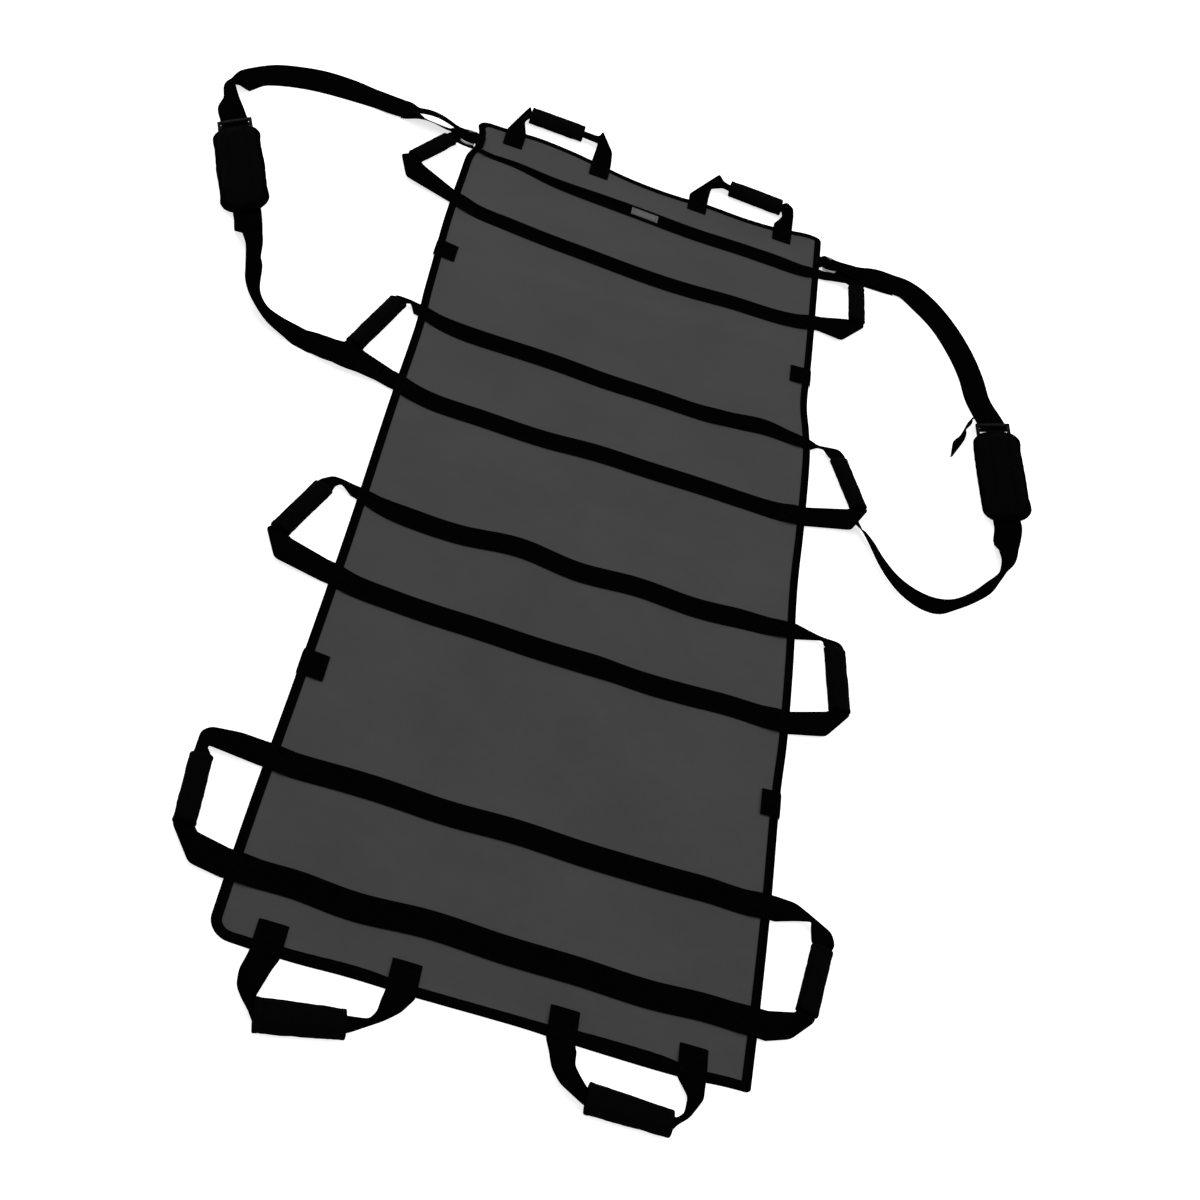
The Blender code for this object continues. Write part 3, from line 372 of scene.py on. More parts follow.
def woven_finish(name, dark, light, cord, pick, rough, gloss=0.0):
    """A woven finish: cords of this pitch along the web, tied down by picks across it, with painted shade in
    the weave's hollows.
    """
    made, tree, shader = finish_named(name, Specular_IOR_Level=gloss, Roughness=rough)
    place = add(tree, "ShaderNodeUVMap", uv_map="web").outputs[0]
    split = add(tree, "ShaderNodeSeparateXYZ", {0: place})
    cords = add(tree, "ShaderNodeMath", {0: split.outputs[1]}, operation="DIVIDE", _1=cord)
    number = add(tree, "ShaderNodeMath", {0: cords.outputs[0]}, operation="FLOOR")
    within = add(tree, "ShaderNodeMath", {0: cords.outputs[0]}, operation="FRACT")
    half_turn = add(tree, "ShaderNodeMath", {0: within.outputs[0]}, operation="MULTIPLY", _1=math.pi)
    ridge = add(tree, "ShaderNodeMath", {0: half_turn.outputs[0]}, operation="SINE")
    per_metre = 2 * math.pi / pick
    picks = add(tree, "ShaderNodeMath", {0: split.outputs[0]}, operation="MULTIPLY", _1=per_metre)
    offset = add(tree, "ShaderNodeMath", {0: number.outputs[0]}, operation="MULTIPLY", _1=math.pi)
    phase = add(tree, "ShaderNodeMath", {0: picks.outputs[0], 1: offset.outputs[0]}, operation="ADD")
    over = add(tree, "ShaderNodeMath", {0: phase.outputs[0]}, operation="SINE")
    raised = add(tree, "ShaderNodeMath", {0: over.outputs[0]}, operation="MULTIPLY_ADD", _1=0.3, _2=0.7)
    height = add(tree, "ShaderNodeMath", {0: ridge.outputs[0], 1: raised.outputs[0]}, operation="MULTIPLY")
    where = add(tree, "ShaderNodeTexCoord").outputs["Object"]
    lint = add(tree, "ShaderNodeTexNoise", {"Vector": where}, _2=160.0, _3=3.0)
    # Painted shade: the colour is darker down in the weave's hollows and lighter on its raised cords, and
    # flecked at random by lint.
    shade = add(tree, "ShaderNodeMath", {0: height.outputs[0], 1: lint.outputs[0]}, operation="MULTIPLY")
    shade_between(tree, shader, shade.outputs[0], dark, light)
    bump_by(tree, shader, height.outputs[0], 0.6, cord * 0.25)
    return made


# Polypropylene herringbone tape: flat black with no shine, cords of 0.6 mm drawn at 1.2 mm.
binding_tape = woven_finish("woven_polypropylene_tape", "#020202", "#070707", 0.0012, 0.0024, 0.85)
# Bonded polyester sewing thread, 0.6 mm: black with a slight shine of its own, and bands of painted sheen
# along its twist.
thread, tree, shader = finish_named("bonded_polyester_thread", Roughness=0.6, Specular_IOR_Level=0.02)
place = add(tree, "ShaderNodeTexCoord").outputs["Object"]
# Painted sheen: lighter and darker bands along the thread's twist stand in for light caught on its plies.
twist = add(tree, "ShaderNodeTexWave", {"Vector": place}, _1=400.0, _2=1.0)
shade_between(tree, shader, twist.outputs[1], "#030303", "#090909")

# Stitches: one short rounded thread on each point of a resampled line.
stitch_tree = bpy.data.node_groups.new("stitches", "GeometryNodeTree")
for socket_name, kind, value in (
    ("Lines", "NodeSocketGeometry", None),
    ("Pitch", "NodeSocketFloat", STITCH_PITCH),
    ("Length", "NodeSocketFloat", 0.0030),
    ("Thickness", "NodeSocketFloat", 0.0008),
):
    socket = stitch_tree.interface.new_socket(socket_name, in_out="INPUT", socket_type=kind)
    if value is not None:
        socket.default_value = value
stitch_tree.interface.new_socket("Stitches", in_out="OUTPUT", socket_type="NodeSocketGeometry")
given = add(stitch_tree, "NodeGroupInput")
curves = add(stitch_tree, "GeometryNodeMeshToCurve", {0: given.outputs["Lines"]})
spaced = add(
    stitch_tree,
    "GeometryNodeResampleCurve",
    {"Curve": curves.outputs[0], "Length": given.outputs["Pitch"]},
    mode="LENGTH",
)
bead = add(stitch_tree, "GeometryNodeMeshUVSphere", _0=6, _1=5, _2=0.5)
size = add(
    stitch_tree,
    "ShaderNodeCombineXYZ",
    {0: given.outputs["Length"], 1: given.outputs["Thickness"], 2: given.outputs["Thickness"]},
)
one_stitch = add(
    stitch_tree,
    "GeometryNodeTransform",
    {"Geometry": bead.outputs[0], "Scale": size.outputs[0]},
)
heading = add(stitch_tree, "GeometryNodeInputTangent")
turned = add(stitch_tree, "FunctionNodeAlignRotationToVector", {"Vector": heading.outputs[0]}, axis="X")
placed = add(
    stitch_tree,
    "GeometryNodeInstanceOnPoints",
    {"Points": spaced.outputs[0], "Instance": one_stitch.outputs[0], "Rotation": turned.outputs[0]},
)
real = add(stitch_tree, "GeometryNodeRealizeInstances", {0: placed.outputs[0]})
dressed = add(stitch_tree, "GeometryNodeSetMaterial", {"Geometry": real.outputs[0]})
dressed.inputs["Material"].default_value = thread
add(stitch_tree, "NodeGroupOutput", {0: dressed.outputs[0]})


def as_modified(holder):
    """A plain mesh of what an object's modifiers make of it."""
    graph = bpy.context.evaluated_depsgraph_get()
    return bpy.data.meshes.new_from_object(holder.evaluated_get(graph), depsgraph=graph)


def sew(name, lines, body, pitch=STITCH_PITCH):
    """Rows of stitches along the lines of points, as one plain mesh that moves with the body."""
    points, edges = [], []
    for line in lines:
        edges += [(len(points) + k, len(points) + k + 1) for k in range(len(line) - 1)]
        points += [tuple(p) for p in line]
    mesh = bpy.data.meshes.new(name + "_path")
    mesh.from_pydata(points, edges, [])
    path = linked(name + "_path", mesh)
    modifier = path.modifiers.new("stitches", "NODES")
    modifier.node_group = stitch_tree
    sizes = {item.name: item.identifier for item in stitch_tree.interface.items_tree}
    modifier[sizes["Pitch"]] = pitch
    modifier[sizes["Length"]] = pitch * STITCH_SHARE
    plain = as_modified(path)
    bpy.data.objects.remove(path, do_unlink=True)
    plain.name = name
    plain.shade_smooth()
    made = linked(name, plain)
    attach(made, body)
    return made


# The folded tape in cross-section: distance inside the sheet's edge, and height
profile = (
    (TAPE_COVER, TAPE_TOP - 0.0001),
    (TAPE_COVER - 0.0006, TAPE_TOP + 0.0001),
    (STITCH_INSET, TAPE_TOP - 0.0001),
    (0.006, TAPE_TOP + 0.0002),
    (0.001, TAPE_TOP),
    (-0.0007, TAPE_TOP - 0.0006),
    (-0.0012, 0.0018),
    (-0.0007, 0.0006),
    (0.0010, 0.0),
    (TAPE_COVER, 0.0),
    (TAPE_COVER, TAPE_THICKNESS),
    (TAPE_EDGE, TAPE_THICKNESS),
    (TAPE_EDGE, TAPE_TOP - TAPE_THICKNESS),
    (TAPE_COVER, TAPE_TOP - TAPE_THICKNESS),
)
loops = []
for inset_by, z in profile:
    x, y = tape_line(inset_by)
    on_top = z > TAPE_TOP - TAPE_THICKNESS / 2
    pucker = PUCKER_HEIGHT * np.sin(np.arange(len(x)) * PUCKER_TURN) if on_top else 0.0
    loops.append(np.stack([x, y, np.full(len(x), z) + pucker], 1))
count = len(loops[0])
middle_line = loops[3]
travel = np.concatenate([[0], np.cumsum(np.linalg.norm(np.diff(middle_line, axis=0), axis=1))])
travel = np.append(travel, travel[-1] + np.linalg.norm(middle_line[0] - middle_line[-1]))
around = np.concatenate([[0], np.cumsum(np.linalg.norm(np.diff(np.array(profile), axis=0), axis=1))])
around = np.append(around, around[-1] + TAPE_THICKNESS)
faces, uvs = [], []
for j in range(len(loops)):
    above = (j + 1) % len(loops)
    for k in range(count):
        after = (k + 1) % count
        faces.append((j * count + k, j * count + after, above * count + after, above * count + k))
        u0, u1, v0, v1 = travel[k], travel[k + 1], around[j], around[j + 1]
        uvs += [(u0, v0), (u1, v0), (u1, v1), (u0, v1)]
binding = mesh_object("binding_tape", np.vstack(loops), faces, uvs)
face_outward(binding.data)
binding.data.materials.append(binding_tape)
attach(binding, "sheet")
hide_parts("edge_binding")
x, y = tape_line(STITCH_INSET)
seam = np.stack([x, y, np.full(len(x), TAPE_TOP + STITCH_PROUD)], 1)
binding_stitches = sew("binding_stitches", [np.vstack([seam, seam[:1]])], "sheet")

# Cross webs. Eight polyester webs, 44 mm wide and 2 mm thick, sewn across the sheet with a row of
# stitches near each selvedge. The two ends of each go on past the binding as the side handles.
FOLD_X = 0.372
WEB_THICKNESS = 0.0020
WEB_WIDTH = 0.0445
# Height of a web's middle on the binding and on the sheet, and the distance in which it comes down
WEB_AT_EDGE = 0.0049
WEB_INSIDE = 0.0025
WEB_RAMP = 0.025
# The sewn part ends here, and the side loop goes on from it
JOIN_X = HALF_WIDTH - 0.045
# A sewn web wavers along its length by this much
WEB_WAVER = 0.0007
# Its two rows of stitches, across it from 0 to 1
WEB_ROWS = (0.09, 0.91)
# Each web's place along the sheet at nine stations from one fold line to the other
WEB_STATIONS = (-FOLD_X, -0.29, -0.2, -0.1, 0.0, 0.1, 0.2, 0.29, FOLD_X)
WEB_LINES = (
    (0.900, 0.8935, 0.8775, 0.8760, 0.872, 0.871, 0.875, 0.877, 0.884),
    (0.715, 0.6885, 0.678, 0.6735, 0.673, 0.6755, 0.689, 0.695, 0.7165),
    (0.3465, 0.328, 0.327, 0.327, 0.3225, 0.3265, 0.332, 0.3485, 0.341),
    (0.1405, 0.121, 0.118, 0.1180, 0.125, 0.1255, 0.128, 0.133, 0.1425),
    (-0.149, -0.168, -0.1695, -0.158, -0.169, -0.161, -0.163, -0.153, -0.142),
    (-0.3365, -0.351, -0.355, -0.3535, -0.3555, -0.358, -0.3545, -0.3475, -0.343),
    (-0.703, -0.7055, -0.7055, -0.708, -0.7055, -0.7075, -0.709, -0.705, -0.7015),
    (-0.8915, -0.8945, -0.900, -0.8945, -0.8970, -0.8980, -0.8995, -0.8950, -0.895),
)
# Webs that are gathered or spread where they pass the edge: number and side, and their width there
EDGE_WIDTHS = {
    (1, -1): 0.010, (1, 1): 0.032, (2, 1): 0.049, (3, -1): 0.034, (3, 1): 0.028, (4, -1): 0.047,
    (4, 1): 0.050, (5, -1): 0.028, (5, 1): 0.036, (6, -1): 0.048, (6, 1): 0.048, (8, -1): 0.048,
    (8, 1): 0.048,
}
# The web nearest the head is gathered over a longer stretch at its left end
LEFT_TAPER = (0.010, 0.022, 0.034, 0.042)

# High-tenacity polyester webbing: near black and matt, cords of 1.1 mm drawn at 2.2 mm.
webbing = woven_finish("polyester_webbing", "#020202", "#070707", 0.0022, 0.0044, 0.8)


def web_level(inset_by):
    """Height of a web's middle at this distance inside the sheet's edge."""
    share = np.clip((inset_by - TAPE_COVER) / WEB_RAMP, 0.0, 1.0)
    return WEB_AT_EDGE + (WEB_INSIDE - WEB_AT_EDGE) * share


def web_station(number, x):
    """The two selvedge points of a cross web at x."""
    widths = [WEB_WIDTH] * len(WEB_STATIONS)
    widths[0] = EDGE_WIDTHS.get((number, -1), WEB_WIDTH)
    widths[-1] = EDGE_WIDTHS.get((number, 1), WEB_WIDTH)
    if number == 1:
        widths[:4] = LEFT_TAPER
    line = through(list(zip(WEB_STATIONS, WEB_LINES[number - 1], widths)), 12)
    y = np.interp(x, line[:, 0], line[:, 1]) + WEB_WAVER * math.sin(31 * x + 2.1 * number)
    width = np.interp(x, line[:, 0], line[:, 2])
    edges = []
    for side in (0.5, -0.5):
        edge_y = y + side * width
        z = web_level(HALF_WIDTH - abs(x)) + float(cloth_height(np.array(x), np.array(edge_y)))
        edges.append(np.array((x, edge_y, z)))
    return edges


def unit(vector):
    """The vector at a length of one."""
    return vector / max(np.linalg.norm(vector), 1e-9)


def web_mesh(name, pairs, thickness=WEB_THICKNESS, columns=8):
    """A woven band between two lines of selvedge points, rounded along both selvedges."""
    pairs = [(np.array(a, float), np.array(b, float)) for a, b in pairs]
    middles = [(a + b) / 2 for a, b in pairs]
    points, travel = [], [0.0]
    for i, (a, b) in enumerate(pairs):
        ahead = middles[min(i + 1, len(pairs) - 1)] - middles[max(i - 1, 0)]
        lift = unit(np.cross(ahead, b - a))
        if i:
            travel.append(travel[-1] + float(np.linalg.norm(middles[i] - middles[i - 1])))
        for side in (1, -1):
            for k in range(columns + 1):
                s = 2 * k / columns - 1
                half = thickness / 2 * max(1 - abs(s) ** 8, 0.0) ** 0.5
                points.append(a + (b - a) * (k / columns) + lift * (half * side))
    row = 2 * (columns + 1)
    faces, uvs = [], []
    for i in range(len(pairs) - 1):
        width = float(np.linalg.norm(pairs[i][1] - pairs[i][0]))
        for side in (0, 1):
            for k in range(columns):
                a = i * row + side * (columns + 1) + k
                quad = (a, a + 1, a + 1 + row, a + row)
                v0, v1 = (k / columns - 0.5) * width, ((k + 1) / columns - 0.5) * width
                corners = [(travel[i], v0), (travel[i], v1), (travel[i + 1], v1), (travel[i + 1], v0)]
                faces.append(quad if side else quad[::-1])
                uvs += corners if side else corners[::-1]
    for i in (0, len(pairs) - 1):
        for k in range(columns):
            a = i * row + k
            b = a + columns + 1
            faces.append((a, a + 1, b + 1, b) if i == 0 else (a, b, b + 1, a + 1))
            uvs += [(travel[i], 0.0)] * 4
    made = mesh_object(name, points, faces, uvs)
    face_outward(made.data, weld=True)
    made.data.shade_smooth()
    made.data.set_sharp_from_angle(angle=math.radians(60))
    made.data.materials.append(webbing)
    return made


def on_band(pairs, across, lift_by, start=0, end=None):
    """A line on a band's upper face, across it from 0 to 1, for a row of stitches."""
    chosen = pairs[start:end]
    line = []
    for i, (a, b) in enumerate(chosen):
        p, q = chosen[max(i - 1, 0)], chosen[min(i + 1, len(chosen) - 1)]
        ahead = (np.add(*q) - np.add(*p)) / 2
        up = unit(np.cross(ahead, np.subtract(b, a)))
        up = up if up[2] > 0 else -up
        line.append(np.array(a) + np.subtract(b, a) * across + up * lift_by)
    return line


rows_of_stitches = []
for number in range(1, 9):
    pairs = [web_station(number, x) for x in np.linspace(-JOIN_X, JOIN_X, 105)]
    web = web_mesh(f"cross_web_{number}_sewn", pairs)
    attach(web, "sheet")
    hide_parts(f"cross_web_{number}")
    rows_of_stitches += [on_band(pairs, across, WEB_THICKNESS / 2 + STITCH_PROUD) for across in WEB_ROWS]
sew("cross_web_stitches", rows_of_stitches, "sheet")

# Side handles. Past the binding each pair of cross webs is one loop: the web goes out, is folded
# over itself at a corner, runs along the edge through a padded sleeve and comes back the same way.
# The web is drawn together to this width inside its sleeve
GRIP_WEB_WIDTH = 0.026
# Height of the line about which the handle folds, and how far its web goes on level past that line
FOLD_Z = 0.0062
FOLD_LEVEL = 0.002
# A box stitch at the edge holds each web down, from this far inside the edge to this far
ANCHOR_BOX = (0.034, 0.002)
BOX_PITCH = 0.0036
# The loop's stations where it is folded near the head and near the foot of the sheet. Each: its
# inner and its outer selvedge, as reach past the fold line and place along the sheet, and height
SIDE_FOLDS = {
    ("left", 1): (
        (((0.018, 0.884), (0.019, 0.893), 0.012), ((0.031, 0.880), (0.049, 0.911), 0.016)),
        (((0.079, 0.780), (0.123, 0.787), 0.0105), ((0.076, 0.776), (0.099, 0.719), 0.0105)),
    ),
    ("left", 2): (
        (((0.012, 0.349), (0.011, 0.360), 0.010), ((0.022, 0.339), (0.041, 0.357), 0.013)),
        (((0.062, 0.184), (0.098, 0.191), 0.0105), ((0.058, 0.181), (0.080, 0.134), 0.0105)),
    ),
    ("left", 3): (
        (
            ((0.021, -0.149), (0.021, -0.137), 0.010),
            ((0.029, -0.159), (0.037, -0.137), 0.011),
            ((0.031, -0.172), (0.057, -0.156), 0.0115),
        ),
        (((0.069, -0.295), (0.106, -0.291), 0.0105), ((0.065, -0.298), (0.079, -0.348), 0.0105)),
    ),
    ("left", 4): (
        (
            ((0.040, -0.725), (0.036, -0.683), 0.010),
            ((0.072, -0.723), (0.078, -0.690), 0.012),
            ((0.072, -0.727), (0.089, -0.702), 0.012),
            ((0.065, -0.737), (0.088, -0.741), 0.012),
        ),
        (((0.051, -0.857), (0.083, -0.858), 0.0105), ((0.047, -0.862), (0.045, -0.912), 0.0105)),
    ),
    ("right", 1): (
        (
            ((0.020, 0.868), (0.020, 0.898), 0.010),
            ((0.048, 0.872), (0.063, 0.893), 0.013),
            ((0.051, 0.868), (0.088, 0.882), 0.014),
        ),
        (((0.060, 0.756), (0.092, 0.748), 0.0105), ((0.054, 0.756), (0.046, 0.679), 0.0105)),
    ),
    ("right", 2): (
        (
            ((0.012, 0.331), (0.014, 0.340), 0.010),
            ((0.024, 0.330), (0.054, 0.346), 0.012),
            ((0.036, 0.311), (0.068, 0.330), 0.012),
        ),
        (((0.080, 0.196), (0.116, 0.209), 0.0105), ((0.076, 0.193), (0.085, 0.141), 0.0105)),
    ),
    ("right", 3): (
        (
            ((0.042, -0.150), (0.041, -0.140), 0.010),
            ((0.046, -0.153), (0.076, -0.142), 0.0115),
            ((0.047, -0.162), (0.085, -0.157), 0.0115),
        ),
        (((0.062, -0.298), (0.100, -0.292), 0.0105), ((0.059, -0.301), (0.060, -0.354), 0.0105)),
    ),
    ("right", 4): (
        (
            ((0.030, -0.716), (0.030, -0.684), 0.010),
            ((0.053, -0.711), (0.050, -0.698), 0.013),
            ((0.053, -0.722), (0.085, -0.719), 0.013),
            ((0.055, -0.746), (0.091, -0.740), 0.013),
        ),
        (((0.041, -0.861), (0.068, -0.871), 0.0105), ((0.038, -0.865), (0.035, -0.909), 0.0105)),
    ),
}
# The sleeve starts this far from the folds
MOUTH_GAP = 0.002
SIGNS = {"left": -1, "right": 1}


def spread(pairs, step=0.004):
    """The same band with stations close together."""
    out = []
    for (a, b), (c, d) in zip(pairs, pairs[1:]):
        longest = max(np.linalg.norm(c - a), np.linalg.norm(d - b))
        pieces = max(1, int(round(longest / step)))
        out += [(a + (c - a) * k / pieces, b + (d - b) * k / pieces) for k in range(pieces)]
    return out + [pairs[-1]]


def relaxed(pairs, times, held=4):
    """The band after its corners have softened, its first and last stations held."""
    a = np.array([p[0] for p in pairs])
    b = np.array([p[1] for p in pairs])
    for _ in range(times):
        for line in (a, b):
            between = (line[held - 1 : -held - 1] + line[held + 1 : len(line) - held + 1]) / 2
            line[held:-held] += 0.5 * (between - line[held:-held])
    return list(zip(a, b))


def mouths(before, after):
    """Where a sleeve between two folded stations ends, and the web's stations in those mouths."""
    a, b = (before[0] + before[1]) / 2, (after[0] + after[1]) / 2
    along = unit(b - a)
    near = a + along * (max(float(np.dot(p - a, along)) for p in before) + MOUTH_GAP)
    far = b - along * (max(float(np.dot(b - p, along)) for p in after) + MOUTH_GAP)
    across = unit(np.cross(along, (0.0, 0.0, 1.0))) * GRIP_WEB_WIDTH / 2
    across = -across if across.dot(before[1] - before[0]) < 0 else across
    return (near, far), [(near - across, near + across), (far - across, far + across)]


def side_loop(side, number):
    """Stations of the whole loop from one join with its cross webs to the other, and its sleeve's ends."""
    sign = SIGNS[side]
    first, last = 2 * number - 1, 2 * number
    out_leg = [web_station(first, sign * x)[::-1] for x in np.linspace(JOIN_X, FOLD_X, 14)]
    back_leg = [web_station(last, sign * x) for x in np.linspace(FOLD_X, JOIN_X, 14)]
    upper, lower = [
        [tuple(np.array((sign * (FOLD_X + r), y, z)) for r, y in edges) for *edges, z in fold]
        for fold in SIDE_FOLDS[(side, number)]
    ]
    ends, inside = mouths(upper[-1], lower[0])
    level = np.array((sign * FOLD_LEVEL, 0.0, 0.0))
    leave = tuple(p + level for p in out_leg[-1])
    back = tuple(p + level for p in back_leg[0])
    legs = [tuple(pair) for pair in out_leg], [tuple(pair) for pair in back_leg]
    return [*legs[0], leave, *upper, *inside, *lower, back, *legs[1]], ends, lower


def box_and_cross(pairs, inset_by=0.10):
    """The lines of a box stitch with its cross over all of a short band."""
    lift_by = WEB_THICKNESS / 2 + STITCH_PROUD
    sides = [on_band(pairs, across, lift_by) for across in (inset_by, 1 - inset_by)]
    ends = [[sides[0][k] * (1 - t) + sides[1][k] * t for t in np.linspace(0, 1, 6)] for k in (0, -1)]
    shares = np.linspace(inset_by, 1 - inset_by, len(pairs))
    crossing = []
    for order in (shares, shares[::-1]):
        crossing.append([on_band(pairs, share, lift_by)[k] for k, share in enumerate(order)])
    return sides + ends + crossing


sewn_corner = {}
side_run = {}
anchor_stitches = []
for side, number in SIDE_FOLDS:
    sign = SIGNS[side]
    pairs, side_run[(side, number)], lower_corner = side_loop(side, number)
    if number == 2:
        sewn_corner[side] = [pair[1] for pair in lower_corner]
    loop = web_mesh(f"side_loop_{side}_{number}", relaxed(spread(pairs), 3, held=16))
    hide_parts(f"side_handle_{side}_{number}")
    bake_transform(loop)
    for web_number in (2 * number - 1, 2 * number):
        across_edge = np.linspace(*[HALF_WIDTH - inset_by for inset_by in ANCHOR_BOX], 9)
        anchor_stitches += box_and_cross([web_station(web_number, sign * x) for x in across_edge])
sew("side_loop_stitches", anchor_stitches, "sheet", pitch=BOX_PITCH)

# Side sleeves. Each is a strip of padded nylon wrapped round the loop's outer run and closed along
# its length by an overlap, with a hem at each end; it is gripped in the hand and stays in place.
SIDE_SLEEVE_WIDTH = 0.035
SIDE_SLEEVE_WIDTHS = {("right", 3): 0.038, ("left", 4): 0.033, ("right", 4): 0.034}
SIDE_SLEEVE_THICKNESS = 0.019
SLEEVE_PITCH = 0.0034
SLEEVE_SIDES = 32
HEM = 0.007
# From inside the mouth to past the hem: distance from the sleeve's end, and how full it is there, from
# 0 for the slot that the web comes out of; its cloth is lumpy where it is fuller than LOOSE
SLEEVE_MOUTH = (
    (0.012, 0.0), (0.0006, 0.0), (0.0, 0.55), (0.0004, 0.82), (0.0018, 0.93),
    (HEM - 0.0015, 0.965), (HEM, 0.94), (HEM + 0.0012, 0.945),
)
LOOSE = 0.93
# The cloth overlaps between these angles round the sleeve, in radians, and is thicker there
OVERLAP = (0.9, 2.3)
OVERLAP_THICKNESS = 0.0010
LUMP_HEIGHT = 0.0008
CREASE_HEIGHT = 0.0004
LOOSE_DEPTH = 0.0006
# The slot in the mouth: its room beside the web, and half its height
SLOT_PLAY = 0.0008
SLOT_HALF_HEIGHT = 0.0022
# Padded nylon pack cloth: black, a little paler than the webs, threads of 0.8 mm drawn at 1.6 mm.
pack_cloth = woven_finish("padded_nylon_pack_cloth", "#030303", "#0B0B0B", 0.0016, 0.0032, 0.8, 0.004)


def tube_mesh(name, rings, finish, along):
    """A skin over rings of points at these places along it, with caps; its UVs are in metres."""
    sides = len(rings[0])
    faces, uvs = [], []
    middle = rings[len(rings) // 2]
    around = sum(np.linalg.norm(middle[k] - middle[k - 1]) for k in range(sides))
    for i in range(len(rings) - 1):
        for k in range(sides):
            after = (k + 1) % sides
            faces.append((i * sides + k, i * sides + after, (i + 1) * sides + after, (i + 1) * sides + k))
            u0, u1, v0, v1 = along[i], along[i + 1], k / sides * around, (k + 1) / sides * around
            uvs += [(u0, v0), (u0, v1), (u1, v1), (u1, v0)]
    faces += [tuple(range(sides)), tuple(range((len(rings) - 1) * sides, len(rings) * sides))]
    uvs += [(0.0, 0.0)] * (2 * sides)
    made = mesh_object(name, [p for ring in rings for p in ring], faces, uvs)
    face_outward(made.data)
    made.data.shade_smooth()
    made.data.materials.append(finish)
    return made


def sleeve(name, start, end, widths, thickness, seed):
    """A padded sleeve between two points, with its width at each, and the lines of its stitches."""
    along = unit(end - start)
    across = unit(np.cross(along, (0.0, 0.0, 1.0)))
    up = unit(np.cross(across, along))
    length = float(np.linalg.norm(end - start))
    rows = list(SLEEVE_MOUTH)
    past_hem = rows[-1][0]
    steps = max(10, int(length / 0.005))
    for k in range(1, steps):
        share = k / steps
        bulge = 0.955 + 0.045 * math.sin(math.pi * share) ** 0.6
        rows.append((past_hem + (length - 2 * past_hem) * share, bulge))
    rows += [(length - distance, swell) for distance, swell in reversed(SLEEVE_MOUTH)]
    rings = []
    hem_lines = [[], []]
    overlap = []
    for distance, swell in rows:
        ring = []
        width = widths[0] + (widths[1] - widths[0]) * distance / length
        slot = ((GRIP_WEB_WIDTH / 2 + SLOT_PLAY) / (width / 2), SLOT_HALF_HEIGHT / (thickness / 2))
        for k in range(SLEEVE_SIDES):
            turn = 2 * math.pi * k / SLEEVE_SIDES
            c, s = math.cos(turn), math.sin(turn)
            if swell == 0.0:
                x, z = np.clip(c * 1.3, -1, 1) * slot[0], np.clip(s * 1.3, -1, 1) * slot[1]
            else:
                x = math.copysign(abs(c) ** 0.92, c) * (0.72 + 0.28 * swell)
                z = math.copysign(abs(s) ** 0.80, s) * swell
            point = start + along * distance + across * (x * width / 2) + up * (z * thickness / 2)
            if swell > LOOSE:
                lump = noise.noise(Vector(point) * 55 + Vector((seed, 0, 0))) * LUMP_HEIGHT
                crease = noise.noise(Vector((distance * 160, turn * 0.8, seed))) * CREASE_HEIGHT
                step_up = OVERLAP_THICKNESS if OVERLAP[0] < turn < OVERLAP[1] else 0.0
                outward = unit(across * x * width + up * z * thickness)
                point = point + outward * (lump + crease + step_up - LOOSE_DEPTH)
            ring.append(point)
        rings.append(ring)
        if swell > LOOSE:
            overlap.append(ring[round(OVERLAP[0] / (2 * math.pi) * SLEEVE_SIDES) + 1] + up * 0.0002)
    for line, index in ((hem_lines[0], 5), (hem_lines[1], len(rows) - 6)):
        centre = np.mean(rings[index], axis=0)
        line += [p + unit(p - centre) * STITCH_PROUD for p in rings[index]] + [rings[index][0]]
    made = tube_mesh(name, rings, pack_cloth, [row[0] for row in rows])
    return made, hem_lines + [overlap[2:-2]]


for (side, number), (start, end) in side_run.items():
    name = f"{side}_{number}"
    width = SIDE_SLEEVE_WIDTHS.get((side, number), SIDE_SLEEVE_WIDTH)
    widths = (width, width)
    seed = number * 3.7 + SIGNS[side]
    pad, lines = sleeve(f"side_sleeve_{name}", start, end, widths, SIDE_SLEEVE_THICKNESS, seed)
    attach(pad, f"{side}_handle_{number}")
    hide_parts(f"side_grip_{name}")
    sew(f"side_sleeve_stitches_{name}", lines, f"{side}_handle_{number}", pitch=SLEEVE_PITCH)

# End handles. Two web loops past each short edge, their ends sewn flat on the sheet with a box
# stitch, and on each a padded sleeve that can slide along the run.
FOLD_Y = 1.007
END_WEB_WIDTH = 0.040
END_TAB_LENGTH = 0.0435
# Height of the loop's corners and run, at which its sleeve just clears the ground
END_RUN_HEIGHT = 0.0132
END_SLEEVE_THICKNESS = 0.024
END_SLEEVE_LENGTH = 0.114
# End of the sheet, the legs' places across it, the run's line as two points across it and past the
# fold line, the middle of the sleeve, and the sleeve's width at its two ends
END_HANDLES = {
    "head_left": (1, -0.2975, -0.1160, (-0.2980, 0.067), (-0.1160, 0.065), -0.2235, (0.050, 0.050)),
    "head_right": (1, 0.0945, 0.2785, (0.1000, 0.060), (0.2880, 0.053), 0.2110, (0.048, 0.050)),
    "foot_left": (-1, -0.2900, -0.1130, (-0.3060, 0.096), (-0.1230, 0.060), -0.2260, (0.050, 0.042)),
    "foot_right": (-1, 0.1005, 0.2780, (0.0980, 0.073), (0.2790, 0.077), 0.2000, (0.046, 0.038)),
}
